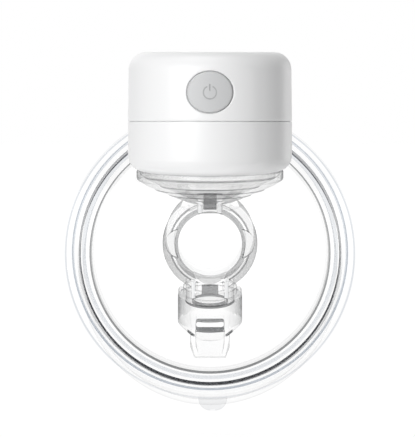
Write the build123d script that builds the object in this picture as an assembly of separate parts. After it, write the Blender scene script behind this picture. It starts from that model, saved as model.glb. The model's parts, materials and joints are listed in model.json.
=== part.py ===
from build123d import *
import math
import os

# Hands-free wearable breast pump, in millimetres.
# Frame: origin on the nipple tunnel's axis, in the plane of the milk spigot's
# axis; +Z up (motor unit above), -Y the front (button side), +Y the body side,
# +X to the right as seen from the front.
#
# Layout, from the body side forwards: a silicone breast shield whose tunnel
# plugs into the back of the clear linker's ring, a clear milk collector bowl
# closed behind by the shield, the linker with its dish above, its ring in the
# middle and its milk spigot below, a duckbill valve on the spigot, a backflow
# diaphragm in the dish, and the motor unit that stands in the dish.

os.makedirs("parts", exist_ok=True)

# ------------------------------------------------------- shared dimensions
TUNNEL_R = 12.0            # nipple tunnel bore radius
TUNNEL_WALL = 2.0
TUNNEL_Y0 = -2.0           # front end of the tunnel

SPIGOT_R = 9.6             # milk spigot under the ring
SPIGOT_Z = -25.0           # its lower end

UNIT_Y = -15.0             # vertical axis of the motor unit and the dish

RIM_Z = -10.5              # centre height of the collector's round rim
RIM_Y = 27.5               # front face of the collector's flange
FLANGE_R = 60.2
FLANGE_T = 2.0
BOWL_R = 57.1              # bowl outer radius where it meets the flange
BOWL_WALL = 1.6

BUTTON_Z = 55.4
BUTTON_A, BUTTON_B = 7.2, 6.45   # half width, half height
USB_Z = 62.0               # height of the charging socket

BATTERY_HALF = 17          # half width of the battery
BATTERY_Y0, BATTERY_Y1 = -31.4, -22.8
BOARD_Y0, BOARD_Y1 = -34.0, -32.8
CHIP_BACK = BOARD_Y0 - 0.02      # back of everything mounted on the board's front

# Air ducts and the tubes that push onto their stubs
PORT_Z = 35.1              # height of the two facing side ports
DUCT_R = 0.8
STUB_R = 1.5
TUBE_R, TUBE_BORE_R = 2.3, 1.54


# ----------------------------------------------------------------- helpers
def outline(points):
    """Closed XY face from (a, b[, radius]) corners, each rounded by its radius."""
    edges = []
    corners = []           # (arc start, arc end, arc middle or None)
    for i, point in enumerate(points):
        before = Vector(*points[i - 1][:2])
        corner = Vector(*point[:2])
        after = Vector(*points[(i + 1) % len(points)][:2])
        radius = point[2] if len(point) > 2 else 0
        if radius <= 0:
            corners.append((corner, corner, None))
            continue
        back = (before - corner).normalized()
        ahead = (after - corner).normalized()
        half = math.acos(max(-1, min(1, back.dot(ahead)))) / 2
        reach = radius / math.tan(half)
        middle = corner + (back + ahead).normalized() * (radius / math.sin(half) - radius)
        corners.append((corner + back * reach, corner + ahead * reach, middle))
    for i, (arc_start, arc_end, middle) in enumerate(corners):
        if middle is not None:
            edges.append(ThreePointArc(arc_start, middle, arc_end))
        next_start = corners[(i + 1) % len(corners)][0]
        if (next_start - arc_end).length > 1e-6:
            edges.append(Line(arc_end, next_start))
    return make_face(edges)


def symmetric(left):
    """Outline of the left-hand corners and their mirror images."""
    return outline(left + [(-point[0], *point[1:]) for point in reversed(left)])


def lathe_z(points, y=0.0, x=0.0):
    """(radius, z[, rounding]) outline turned about a vertical axis at (x, y)."""
    return Pos(x, y, 0) * revolve(Rot(90, 0, 0) * outline(points), Axis.Z, 360)


def lathe_y(points, z=0.0):
    """(radius, y[, rounding]) outline turned about a front-to-back axis at height z."""
    return Pos(0, 0, z) * revolve(outline(points), Axis.Y, 360)


def cyl_x(r, x0, x1, y, z):
    return Pos((x0 + x1) / 2, y, z) * Rot(0, 90, 0) * Cylinder(r, x1 - x0)


def cyl_y(r, y0, y1, x, z):
    return Pos(x, (y0 + y1) / 2, z) * Rot(90, 0, 0) * Cylinder(r, y1 - y0)


def cyl_z(r, z0, z1, x, y):
    return Pos(x, y, (z0 + z1) / 2) * Cylinder(r, z1 - z0)


def unit_cyl(r, z0, z1):
    """Cylinder on the motor unit's axis."""
    return cyl_z(r, z0, z1, 0, UNIT_Y)


def block(x0, x1, y0, y1, z0, z1):
    centre = Pos((x0 + x1) / 2, (y0 + y1) / 2, (z0 + z1) / 2)
    return centre * Box(x1 - x0, y1 - y0, z1 - z0)


def slab_x(face, x0, x1):
    """A face drawn in (y, z) pushed from x0 to x1."""
    return Pos(x0, 0, 0) * (Rot(90, 0, 90) * extrude(face, x1 - x0))


def slab_y(face, y0, y1, x=0.0, z=0.0):
    """A face drawn in (x, z) pushed from y0 to y1."""
    return Pos(x, y1, z) * (Rot(90, 0, 0) * extrude(face, y1 - y0))


def wire(path, radius):
    """Round wire along a path."""
    return sweep(Plane(origin=path @ 0, z_dir=path % 0) * Circle(radius), path=path)


def joined(shapes):
    total = shapes[0]
    for shape in shapes[1:]:
        total = total + shape
    return total


def save(name, shape):
    solids = shape.solids()
    whole = solids[0] if len(solids) == 1 else Compound(children=list(solids))
    export_step(whole, f"parts/{name}.step")


# ----------------------------------------------------------- motor housing
HOUSING_R = 29.65          # at the seam
HOUSING_TOP_R = 29.3
HOUSING_WALL = 2.0
HOUSING_BOTTOM = 27.6
HOUSING_FOOT_R = 9.5       # rounding at the bottom edge
HOUSING_HEAD_R = 6.4       # rounding at the top edge
SEAM_Z = 46.1
SEAM_GAP = 0.36
SEAM_LOW, SEAM_HIGH = SEAM_Z - SEAM_GAP / 2, SEAM_Z + SEAM_GAP / 2
TOP_Z = 71.46              # top face height on the unit's axis
TOP_TILT = 6.606           # the top face slopes down to the front, degrees
TONGUE_R = HOUSING_R - 1.02      # outer radius of the lower shell's tongue
CAVITY_R = HOUSING_R - HOUSING_WALL
BUTTON_GAP = 0.28
BOSS_R = 2.6               # screw bosses
SCREWS = [(21.8, -24.5), (-21.8, -24.5), (-9.0, 8.6)]    # (x, y)


def button_oval(margin, y0, y1):
    """The button's oval, widened by a margin all round."""
    oval = Ellipse(BUTTON_A + margin, BUTTON_B + margin)
    return slab_y(oval, y0, y1, 0, BUTTON_Z)


def head_solid(inset, foot_z, rounding):
    """Upper shell as a full body, shrunk by inset, with its sloping top rounded."""
    cone = Pos(0, UNIT_Y, foot_z + 15) * Cone(HOUSING_R - inset, HOUSING_TOP_R - inset, 30)
    cone = cone + unit_cyl(HOUSING_TOP_R - inset, foot_z + 30, foot_z + 34)
    above_top = (
        Pos(0, UNIT_Y, TOP_Z) * Rot(TOP_TILT, 0, 0) * Pos(0, 0, 60 - inset) * Box(200, 200, 120)
    )
    body = cone - above_top
    return fillet(body.faces().sort_by(Axis.Z)[-1].edges(), rounding)


def upper_housing():
    outer = head_solid(0, SEAM_HIGH, HOUSING_HEAD_R)
    inner = head_solid(HOUSING_WALL, SEAM_HIGH - 0.01, HOUSING_HEAD_R - HOUSING_WALL)
    shell = outer - inner
    # rebate for the lower shell's tongue and the gasket
    shell = shell - (
        unit_cyl(TONGUE_R + 0.08, SEAM_HIGH - 1, SEAM_HIGH + 2.6)
        - unit_cyl(CAVITY_R - 3, SEAM_HIGH - 1, SEAM_HIGH + 2.6)
    )
    for x, y in SCREWS:
        boss = cyl_z(BOSS_R, 49.6, 80, x, y) & outer
        shell = shell + boss - cyl_z(0.85, 49, 58, x, y)
    shell = shell - button_oval(BUTTON_GAP, -50, -36)
    # charging socket opening at the back
    shell = shell - slab_y(RectangleRounded(9.7, 3.9, 1.9), 10, 20, 0, USB_Z)
    # two ribs that keep the board upright
    for x in (-17.4, 16.2):
        shell = shell + (block(x, x + 1.2, -36.6, BOARD_Y0 - 0.25, 50, 66) & inner)
    return shell


def lower_housing():
    foot = lathe_z(
        [
            (0, HOUSING_BOTTOM),
            (HOUSING_R, HOUSING_BOTTOM, HOUSING_FOOT_R),
            (HOUSING_R, SEAM_LOW),
            (0, SEAM_LOW),
        ],
        UNIT_Y,
    )
    cavity = lathe_z(
        [
            (0, HOUSING_BOTTOM + HOUSING_WALL),
            (CAVITY_R, HOUSING_BOTTOM + HOUSING_WALL, HOUSING_FOOT_R - HOUSING_WALL),
            (CAVITY_R, SEAM_LOW + 5),
            (0, SEAM_LOW + 5),
        ],
        UNIT_Y,
    )
    shell = foot - cavity
    # tongue
    shell = shell + (
        unit_cyl(TONGUE_R, SEAM_LOW - 0.5, SEAM_HIGH + 1.7)
        - unit_cyl(CAVITY_R, SEAM_LOW - 1, SEAM_HIGH + 2)
    )
    for x, y in SCREWS:
        boss = cyl_z(BOSS_R, HOUSING_BOTTOM + 1, 49.4, x, y)
        shell = shell + (boss & (foot + unit_cyl(CAVITY_R - 0.15, 40, 49.4)))
        shell = shell - cyl_z(1.15, 20, 50, x, y) - cyl_z(2.1, 20, 32.4, x, y)
    # suction nozzle above and below the floor, with a seal groove around it
    groove = [
        (2.6, HOUSING_BOTTOM - 1),
        (4.2, HOUSING_BOTTOM - 1),
        (4.2, HOUSING_BOTTOM + 0.7),
        (2.6, HOUSING_BOTTOM + 0.7),
    ]
    shell = (
        shell
        + unit_cyl(STUB_R, HOUSING_BOTTOM - 1.4, 31.4)
        + unit_cyl(3.0, HOUSING_BOTTOM + 1, 30.1)
        - unit_cyl(0.85, 20, 40)
        - lathe_z(groove, UNIT_Y)
    )
    # battery cradle ribs
    rib_in, rib_out = BATTERY_HALF + 0.25, BATTERY_HALF + 1.4
    shell = (
        shell
        + block(-rib_out, -rib_in, BATTERY_Y0, BATTERY_Y1, 29, 40)
        + block(rib_in, rib_out, BATTERY_Y0, BATTERY_Y1, 29, 40)
    )
    # wall in front of the board's foot
    return shell + (block(-14, 14, -34.9, BOARD_Y0 - 0.2, 29, 36.5) & foot)


def housing_gasket():
    inner, low, high = CAVITY_R + 0.06, SEAM_HIGH + 1.75, SEAM_HIGH + 2.5
    return lathe_z([(inner, low), (TONGUE_R, low), (TONGUE_R, high), (inner, high)], UNIT_Y)


def housing_screw(x, y):
    """Screw standing head down, with a cross recess."""
    return (
        cyl_z(1.9, 31.0, 32.35, x, y)
        + cyl_z(0.84, 32.3, 56.0, x, y)
        - cyl_z(0.5, 30.9, 31.7, x, y)
        - (Pos(x, y, 31.3) * Box(2.4, 0.5, 0.7))
        - (Pos(x, y, 31.3) * Box(0.5, 2.4, 0.7))
    )


def housing_screws():
    return joined([housing_screw(x, y) for x, y in SCREWS])


def suction_port_seal():
    return Pos(0, UNIT_Y, HOUSING_BOTTOM + 0.02) * Torus(3.4, 0.62)


# ------------------------------------------------------- button and switch
BUTTON_FACE_R = 29.8       # the button's face follows the housing's curve
MARK_DEPTH = 0.25


def power_button():
    button = button_oval(0, -50, -40.9) & unit_cyl(BUTTON_FACE_R, 40, 75)
    button = fillet(button.faces().sort_by(Axis.Y)[0].edges(), 0.4)
    # retaining flange and pusher behind the cap
    button = button + button_oval(0.95, -41.0, -40.1) + cyl_y(1.7, -40.4, -38.05, 0, BUTTON_Z)
    # sunk power symbol: an open ring and a bar
    ring_z = BUTTON_Z - 0.15
    ring_mark = cyl_y(2.25, -50, -42, 0, ring_z) - cyl_y(1.85, -51, -41, 0, ring_z)
    ring_mark = ring_mark - block(-0.75, 0.75, -51, -41, BUTTON_Z, BUTTON_Z + 4)
    bar_mark = block(-0.2, 0.2, -50, -42, BUTTON_Z + 0.3, BUTTON_Z + 2.5)
    return button - ((ring_mark + bar_mark) - unit_cyl(BUTTON_FACE_R - MARK_DEPTH, 40, 75))


def switch_plunger():
    return cyl_y(1.5, -38.0, -36.1, 0, BUTTON_Z)


def tact_switch():
    body = block(-3, 3, -36.9, CHIP_BACK, BUTTON_Z - 3, BUTTON_Z + 3)
    body = chamfer(body.edges().filter_by(Axis.Y), 0.4)
    return body - cyl_y(1.62, -40, -35.2, 0, BUTTON_Z)


# ------------------------------------------------------------- electronics
# Blocks on the board's front: (x0, x1, front y, z0, z1)
CHIPS = [
    (-13, -6, -35.05, 39, 46),
    (6.5, 11.5, -35.1, 40, 44),
    (8, 10.2, -34.9, 48, 49.6),
    (-9.5, -7.9, -35.0, 50, 53.2),
    (-3.0, -1.0, -34.7, 39, 42.2),
    (1.2, 3.2, -34.7, 39, 42.2),
    (-12.5, -4.5, -37.2, 58.0, 61.2),
    (5.5, 12.0, -37.2, 58.0, 61.2),
]
USB_Y0, USB_Y1 = 6.6, 13.7
USB_W, USB_H, USB_ROUND = 8.94, 3.2, 1.55
USB_WALL = 0.3


def control_board():
    board = slab_y(RectangleRounded(34, 30, 2.0), BOARD_Y0, BOARD_Y1, 0, 49.5)
    for x in (-14.5, 14.5):
        board = board - cyl_y(1.1, -35, -32, x, 61.8)
    return board


def board_components():
    return joined([block(x0, x1, y0, CHIP_BACK, z0, z1) for x0, x1, y0, z0, z1 in CHIPS])


def battery_cell():
    cell = block(-BATTERY_HALF, BATTERY_HALF, BATTERY_Y0, BATTERY_Y1, 32.0, 63.0)
    cell = fillet(cell.edges().filter_by(Axis.Z), 2.6)
    return cell + block(-13, 13, BATTERY_Y0 + 1, BATTERY_Y1 - 1, 62.9, 64.2)


def battery_pad():
    return block(-14, 14, BOARD_Y1 + 0.1, BATTERY_Y0 - 0.1, 37, 58)


def charging_socket():
    socket = slab_y(RectangleRounded(USB_W, USB_H, USB_ROUND), USB_Y0, USB_Y1, 0, USB_Z)
    mouth = RectangleRounded(USB_W - 2 * USB_WALL, USB_H - 2 * USB_WALL, USB_ROUND - USB_WALL)
    socket = socket - slab_y(mouth, USB_Y0 + 1.2, USB_Y1 + 1, 0, USB_Z)
    # contact tongue
    return socket + block(-3.35, 3.35, USB_Y0 + 0.6, USB_Y1 - 0.7, USB_Z - 0.35, USB_Z + 0.35)


def charging_board():
    return block(-5.6, 9, 6.5, 11.0, USB_Z - 2.45, USB_Z - 1.65)


# -------------------------------------------------------------- pump motor
PUMP_X, PUMP_Y = 10.4, -7.0      # vertical axis of the pump head
MOTOR_X = PUMP_X - 6.3     # the motor's front bearing face, facing +X
CRANK_Z = 56.0             # height of the motor shaft
THROW = 1.2                # eccentric throw
SHAFT_R = 1.0
SHAFT_HOLE_R = 1.05        # running fit
SHAFT_GRIP_R = 1.01        # press fit
CAN_BORE_R = 7.3
CRANK_PIN_R = 1.4


def shaft_cyl(r, x0, x1, raised=0):
    """Cylinder along the motor shaft, x measured from the motor's front face."""
    return cyl_x(r, MOTOR_X + x0, MOTOR_X + x1, PUMP_Y, CRANK_Z + raised)


def motor_can():
    can = shaft_cyl(8.0, -20.5, 0)
    can = fillet(can.edges().filter_by(GeomType.CIRCLE), 1.0)
    return can - shaft_cyl(CAN_BORE_R, -30, -1.0) - shaft_cyl(2.2, -2, 2)


def motor_magnets():
    """Magnet sleeve, split above and below the shaft."""
    sleeve = shaft_cyl(CAN_BORE_R - 0.05, -18.5, -3.0) - shaft_cyl(5.6, -30, 1)
    return sleeve - block(
        MOTOR_X - 30, MOTOR_X, PUMP_Y - 1.6, PUMP_Y + 1.6, CRANK_Z - 10, CRANK_Z + 10
    )


def motor_end_cap():
    return (
        shaft_cyl(CAN_BORE_R - 0.05, -20.4, -18.9)
        + shaft_cyl(2.4, -21.6, -20.3)
        - shaft_cyl(SHAFT_HOLE_R, -23, -18)
    )


def motor_bushing():
    return shaft_cyl(2.15, -1.6, 1.6) - shaft_cyl(SHAFT_HOLE_R, -5, 6)


def motor_shaft():
    return shaft_cyl(SHAFT_R, -21.4, 5.4)


def motor_armature():
    armature = shaft_cyl(5.2, -17.2, -4.6) - shaft_cyl(SHAFT_GRIP_R, -30, 0)
    slot = block(MOTOR_X - 30, MOTOR_X, -0.7, 0.7, 3.2, 8)
    for k in range(3):
        armature = armature - (Pos(0, PUMP_Y, CRANK_Z) * Rot(120 * k, 0, 0) * slot)
    return armature


def motor_leads():
    start_x = MOTOR_X - 20.8     # at the motor's end cap
    leads = []
    # (five heights along the lead, rise of the starting direction)
    for heights, rise in (
        ((CRANK_Z + 2, 58, 60, 61.6, 62.4), 0.1),
        ((CRANK_Z - 2, 54, 55.6, 57.6, 58.4), -0.1),
    ):
        path = Spline(
            (start_x, PUMP_Y - 3.2, heights[0]),
            (start_x - 1.2, -14.5, heights[1]),
            (-18.4, -21.4, heights[2]),
            (-18.0, -28.5, heights[3]),
            (-16.6, -32.2, heights[4]),
            tangents=[(-0.6, -1, rise), (0.4, -1, 0)],
        )
        leads.append(wire(path, 0.45))
    return joined(leads)


def eccentric_crank():
    return (
        shaft_cyl(4.0, 2.4, 5.6)
        - shaft_cyl(SHAFT_GRIP_R, 0, 5.45)
        + shaft_cyl(CRANK_PIN_R, 5.5, 9.4, raised=THROW)
    )


def connecting_rod():
    eye_r = CRANK_PIN_R + 2 * THROW + 0.15
    x0, x1 = 6.0, 8.6      # from the motor's front face
    rod = shaft_cyl(eye_r + 1.4, x0, x1) - shaft_cyl(eye_r, x0 - 1, x1 + 1)
    rod = rod + block(
        MOTOR_X + x0, MOTOR_X + x1, PUMP_Y - 1.4, PUMP_Y + 1.4, 46.2, CRANK_Z - eye_r - 0.6
    )
    return rod + pump_cyl(3.6, 45.22, 46.5)


# --------------------------------------------------------------- pump head
PUMP_HALF = 7.9            # half width of the square pump head
PUMP_X0, PUMP_X1 = PUMP_X - PUMP_HALF, PUMP_X + PUMP_HALF
PUMP_Y0, PUMP_Y1 = PUMP_Y - PUMP_HALF, PUMP_Y + PUMP_HALF
COVER_TOP = 37.18
FRAME_Z = 45.24            # underside of the frame
CHAMBER_TOP_R = 5.8        # working chamber and the frame's opening over it
FLAP_OFFSETS = (-2.6, 2.6)       # umbrella valves, left and right of the axis
PUMP_SCREWS = [
    (x, y) for x in (PUMP_X0 + 1.55, PUMP_X1 - 1.55) for y in (PUMP_Y0 + 1.55, PUMP_Y1 - 1.55)
]
# (radius, z[, rounding])
RUBBER_PROFILE = [
    (0, 44.22), (4.0, 44.22), (4.9, 43.6, 0.35), (5.8, 44.22), (7.4, 44.22),
    (7.4, 45.2), (5.8, 45.2), (4.9, 44.6, 0.35), (4.0, 45.2), (0, 45.2),
]


def pump_cyl(r, z0, z1, dx=0):
    return cyl_z(r, z0, z1, PUMP_X + dx, PUMP_Y)


def pump_block(z0, z1):
    return block(PUMP_X0, PUMP_X1, PUMP_Y0, PUMP_Y1, z0, z1)


def screw_hole(x, y):
    return cyl_z(0.68, 30, 48, x, y)


def drilled(piece):
    for x, y in PUMP_SCREWS:
        piece = piece - screw_hole(x, y)
    return piece


def pump_rubber():
    return lathe_z(RUBBER_PROFILE, PUMP_Y, PUMP_X)


def pump_frame():
    frame = pump_block(FRAME_Z, 47.3) - pump_cyl(CHAMBER_TOP_R, 40, 50)
    # upright plate on the motor's face
    frame = frame + block(MOTOR_X + 0.05, MOTOR_X + 1.9, PUMP_Y0, PUMP_Y1, FRAME_Z, 65.0)
    frame = frame - shaft_cyl(2.2, -3, 3)
    # corner ribs, front and back
    for y in (PUMP_Y0, PUMP_Y1 - 1.4):
        frame = frame + block(MOTOR_X + 1.85, MOTOR_X + 4.0, y, y + 1.4, FRAME_Z, 52)
    return drilled(frame)


def pump_head():
    chamber = [(0, 41.2), (4.2, 41.2), (CHAMBER_TOP_R, 43.0), (CHAMBER_TOP_R, 45), (0, 45)]
    head = pump_block(38.2, 44.2) - lathe_z(chamber, PUMP_Y, PUMP_X)
    for dx in FLAP_OFFSETS:
        # air holes on both sides of the valve's stem hole
        head = head - pump_cyl(0.5, 38, 42, dx + 1.3) - pump_cyl(0.5, 38, 42, dx - 1.3)
        head = head - pump_cyl(0.62, 38, 42, dx)
    return drilled(head)


def valve_plate():
    plate = pump_block(37.2, 38.18)
    for dx in FLAP_OFFSETS:
        plate = plate - pump_cyl(2.15, 37, 39, dx)
    return drilled(plate)


def umbrella_valves():
    return joined(
        [pump_cyl(2.05, 37.72, 38.16, dx) + pump_cyl(0.6, 37.9, 40.4, dx) for dx in FLAP_OFFSETS]
    )


def pump_cover():
    duct_x = PUMP_X0 + 2.2
    arm_y0, arm_y1 = UNIT_Y - 2.8, UNIT_Y + 2.8
    cover = pump_block(31.2, COVER_TOP)
    # manifold arm over the suction nozzle, with a port down and a port to the left
    cover = cover + block(-2.8, PUMP_X0 + 0.1, arm_y0, arm_y1, 33.0, COVER_TOP)
    cover = cover + block(PUMP_X0, PUMP_X0 + 4, arm_y0, PUMP_Y0 + 0.1, 33.0, COVER_TOP)
    cover = cover + unit_cyl(STUB_R, 31.6, 33.1) + cyl_x(STUB_R, -5.4, -2.7, UNIT_Y, PORT_Z)
    # two air chambers
    for x0, x1 in ((-5.2, -0.5), (0.5, 5.2)):
        cover = cover - block(PUMP_X + x0, PUMP_X + x1, PUMP_Y - 5, PUMP_Y + 5, 33, 38)
    # ducts from both ports to the left chamber, and out of the right one
    cover = cover - unit_cyl(DUCT_R, 31, PORT_Z) - cyl_x(DUCT_R, -6, duct_x, UNIT_Y, PORT_Z)
    cover = cover - cyl_y(DUCT_R, UNIT_Y, PUMP_Y - 4, duct_x, PORT_Z)
    cover = cover - cyl_x(DUCT_R, duct_x, PUMP_X - 4, PUMP_Y - 4.4, PORT_Z)
    cover = cover - cyl_x(DUCT_R, PUMP_X + 3, PUMP_X1 + 2, PUMP_Y, 34.6)
    for x, y in PUMP_SCREWS:
        cover = cover - screw_hole(x, y) - cyl_z(1.25, 30, 32.4, x, y)
    return cover


def pump_screw(x, y):
    """Slotted screw standing head down."""
    body = cyl_z(0.63, 32.3, 46.8, x, y) + cyl_z(1.15, 31.3, 32.34, x, y)
    return body - (Pos(x, y, 31.4) * Box(1.5, 0.4, 0.6))


def pump_head_screws():
    return joined([pump_screw(x, y) for x, y in PUMP_SCREWS])


# ------------------------------------------------ release solenoid, tubing
SOL_X = -14.0              # its vertical axis, level with the unit's in y
SOL_BORE_R = 1.75


def sol_cyl(r, z0, z1):
    return cyl_z(r, z0, z1, SOL_X, UNIT_Y)


def solenoid_frame():
    body = block(SOL_X - 5.2, SOL_X + 5.2, UNIT_Y - 4.5, UNIT_Y + 4.5, 31.4, 45.2)
    window = block(SOL_X - 4.3, SOL_X + 4.3, UNIT_Y - 6, UNIT_Y + 6, 36.9, 44.3)
    body = body - window - sol_cyl(SOL_BORE_R, 36.0, 50)
    # side port and its ducts
    body = body + cyl_x(STUB_R, SOL_X + 5.1, SOL_X + 7.6, UNIT_Y, PORT_Z)
    body = body - cyl_x(DUCT_R, SOL_X, SOL_X + 10, UNIT_Y, PORT_Z) - sol_cyl(0.7, PORT_Z, 36.5)
    return body - cyl_y(DUCT_R, UNIT_Y - 6, UNIT_Y, SOL_X, 36.6)


def solenoid_coil():
    coil = sol_cyl(4.2, 37.0, 44.2) - sol_cyl(SOL_BORE_R, 30, 50)
    return coil - (sol_cyl(5, 37.9, 43.3) - sol_cyl(3.9, 37, 44))


def solenoid_plunger():
    return sol_cyl(1.65, 37.1, 45.6) + sol_cyl(1.1, 45.5, 48.3) + sol_cyl(2.6, 48.2, 49.0)


def solenoid_spring():
    """Return spring between the frame and the plunger's collar."""
    return wire(Pos(SOL_X, UNIT_Y, 45.38) * Helix(pitch=0.66, height=2.64, radius=2.15), 0.14)


def suction_sleeve():
    return unit_cyl(TUBE_R, 30.15, 32.95) - unit_cyl(TUBE_BORE_R, 30, 33)


def release_tube():
    tube = cyl_x(TUBE_R, SOL_X + 5.3, -2.9, UNIT_Y, PORT_Z)
    return tube - cyl_x(TUBE_BORE_R, -20, 0, UNIT_Y, PORT_Z)


# ------------------------------------------------------------------ linker
RING_R = 18.3              # linker ring, outer radius
RING_Y0, RING_Y1 = -9.0, 13.0
SOCKET_R = TUNNEL_R + TUNNEL_WALL + 0.06
SOCKET_Y0 = TUNNEL_Y0 - 0.3      # floor of the tunnel's socket
CHAMBER_R = 12.4
WINDOW_Y0 = RING_Y0 + 0.7
WINDOW_Y1 = WINDOW_Y0 + 1.5      # clear front wall of the ring
SPIGOT_BORE_R = 6.8
NECK_HALF = 6.6            # neck between dish and ring
AIR_W = 5.4                # air channel width
AIR_Y0, AIR_Y1 = -7.4, -3.6
# (radius, z[, rounding]) about the unit's axis
DISH_PROFILE = [
    (0, 16.4), (8.6, 16.4, 1.0), (12.0, 18.2, 4), (16.4, 20.2), (22.4, 23.2, 4),
    (26.6, 25.6, 1.6), (26.6, 28.8, 0.5), (25.3, 28.8, 0.5), (25.3, 26.7, 0.3),
    (21.8, 24.9), (16.0, 22.0), (11.6, 20.0), (8.0, 18.2, 1.0), (0, 18.2),
]
DIAPHRAGM_PROFILE = [
    (0, 19.4), (7.8, 19.4, 1.0), (11.4, 21.0), (15.8, 23.1), (21.3, 25.9, 1.5),
    (23.3, 26.75), (23.3, 27.45, 0.25), (21.7, 27.45, 0.3), (20.9, 26.7),
    (15.4, 24.0), (11.0, 21.9), (7.4, 20.3, 1.0), (0, 20.3),
]
# (radius, y[, rounding]) about the tunnel's axis
RING_PROFILE = [
    (0, WINDOW_Y0),
    (11.6, WINDOW_Y0, 0.5),
    (12.6, RING_Y0, 0.5),
    (15.0, RING_Y0, 0.4),
    (15.8, RING_Y0 + 1.1, 0.4),
    (RING_R, RING_Y0 + 1.9, 1.4),
    (RING_R, RING_Y1, 0.8),
    (SOCKET_R, RING_Y1, 0.5),
    (SOCKET_R, SOCKET_Y0, 0.2),
    (CHAMBER_R, SOCKET_Y0, 0.3),
    (CHAMBER_R, WINDOW_Y1, 0.8),
    (0, WINDOW_Y1),
]


def linker_body():
    """Dish, ring and spigot with the neck between dish and ring, before the bores."""
    spigot = cyl_z(SPIGOT_R, SPIGOT_Z, -10, 0, 0)
    spigot = fillet(spigot.edges().filter_by(GeomType.CIRCLE).sort_by(Axis.Z)[0], 0.5)
    # stop collar above the valve
    collar_in, collar_out = SPIGOT_R - 1, SPIGOT_R + 0.9
    collar = lathe_z(
        [(collar_in, -18.6), (collar_out, -18.6, 0.4), (collar_out, -17.4, 0.4), (collar_in, -17.4)]
    )
    neck = block(-NECK_HALF, NECK_HALF, -10.4, -1.6, 11.0, 17.4)
    neck = fillet(neck.edges().filter_by(Axis.Z), 1.2)
    # ribs and a foot bar on the neck's front
    ribs = block(-5.4, -3.7, -11.6, -9.0, 11.6, 17.2) + block(3.7, 5.4, -11.6, -9.0, 11.6, 17.2)
    ribs = fillet(ribs.edges().filter_by(Axis.Z), 0.5)
    foot_bar = block(-5.4, 5.4, -11.2, -9.0, 10.9, 12.1)
    foot_bar = fillet(foot_bar.edges().filter_by(Axis.X), 0.4)
    dish = lathe_z(DISH_PROFILE, UNIT_Y)
    return dish + lathe_y(RING_PROFILE) + spigot + collar + neck + ribs + foot_bar


def linker():
    body = linker_body()
    # gussets under the dish, left and right of the neck
    root_x = NECK_HALF - 0.5
    gusset_face = outline(
        [(root_x, 13.0), (NECK_HALF + 1.4, 15.0, 1.0), (12.6, 18.9), (root_x, 17.6)]
    )
    gusset = slab_y(gusset_face, -8.2, -6.4)
    for side in (mirror(gusset, Plane.YZ), gusset):
        body = body + side
    ring_bore = (
        cyl_y(SOCKET_R, SOCKET_Y0, RING_Y1 + 1, 0, 0) + cyl_y(CHAMBER_R, WINDOW_Y1, TUNNEL_Y0, 0, 0)
    )
    milk_bore = lathe_z(
        [
            (0, -8),
            (SPIGOT_BORE_R, -8),
            (SPIGOT_BORE_R, SPIGOT_Z + 3),
            (SPIGOT_R - 1.5, SPIGOT_Z - 1),
            (0, SPIGOT_Z - 1),
        ]
    )
    # the milk bore stops below z = -9.9
    body = body - ring_bore - (milk_bore - cyl_z(30, -9.9, 0, 0, 0))
    # air channel from the dish floor to the chamber
    body = body - block(-AIR_W / 2, AIR_W / 2, AIR_Y0, AIR_Y1, 9.0, 24.0)
    # lens-shaped facets on the ring's front, left and right
    lens_y0, lens_y1 = RING_Y0 - 1, RING_Y0 + 2.9
    for s in (-1, 1):
        lens = cyl_y(7.4, lens_y0, lens_y1, s * 10.6, 0) & cyl_y(8.4, lens_y0, lens_y1, s * 20.4, 0)
        body = body - lens
    # snap lugs inside the dish rim
    lug = block(23.6, 25.5, UNIT_Y - 3, UNIT_Y + 3, 25.4, 27.4)
    lugs = lug + mirror(lug, Plane.YZ)
    lug_ring = lathe_z([(23.7, 24), (25.6, 24), (25.6, 27.4), (23.7, 27.4)], UNIT_Y)
    return body + (lugs & lug_ring)


def backflow_diaphragm():
    return lathe_z(DIAPHRAGM_PROFILE, UNIT_Y)


# ---------------------------------------------------------- duckbill valve
VALVE_R = 12.5             # duckbill base
VALVE_TOP = -20.6
VALVE_TIP = -45.8
BEAK_HALF = 7.8            # half width of the beak
SEAT_R = SPIGOT_R + 0.06   # socket for the spigot
SEAT_Z = SPIGOT_Z - 0.15


def wedge(front, side):
    """Overlap of a front (x, z) and a side (y, z) outline, given by their left halves."""
    return slab_y(symmetric(front), -12, 12) & slab_x(symmetric(side), -12, 12)


def duckbill_valve():
    base = lathe_z(
        [
            (0, -37.0),
            (7.2, -37.0, 1.2),
            (VALVE_R, -31.6, 1.6),
            (VALVE_R, VALVE_TOP, 0.8),
            (SEAT_R, VALVE_TOP, 0.5),
            (SEAT_R, SEAT_Z, 0.3),
            (8.0, SEAT_Z),
            (8.0, -29.5, 1.0),
            (0, -29.5),
        ]
    )
    # two ears on the rim, left and right
    ear_ring = lathe_z([(10.55, -21.6), (12.3, -21.6), (12.3, -18.9, 0.5), (10.55, -18.9, 0.3)])
    ears = ear_ring & (block(9, 14, -2.6, 2.6, -23, -17) + block(-14, -9, -2.6, 2.6, -23, -17))
    beak = wedge(
        front=[(-BEAK_HALF, -30), (-BEAK_HALF, -40.6, 3.0), (-6.2, VALVE_TIP, 0.8)],
        side=[(-7.6, -30), (-7.6, -33.4, 1.0), (-0.95, VALVE_TIP - 0.01, 0.4)],
    )
    cavity = wedge(
        front=[(-6.0, -26), (-6.0, -40.4, 2.0), (-5.0, -44.8, 0.4)],
        side=[(-6.0, -26), (-6.0, -33.0, 0.8), (-0.14, -44.6)],
    )
    slit = block(-4.9, 4.9, -0.1, 0.1, VALVE_TIP - 1, -44)
    # finger slot sunk in the front of the base
    slot = slab_y(RectangleRounded(10.6, 5.4, 1.5), -14, -9.4, 0, -29.2)
    return base + ears + beak - cavity - slit - slot


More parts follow.
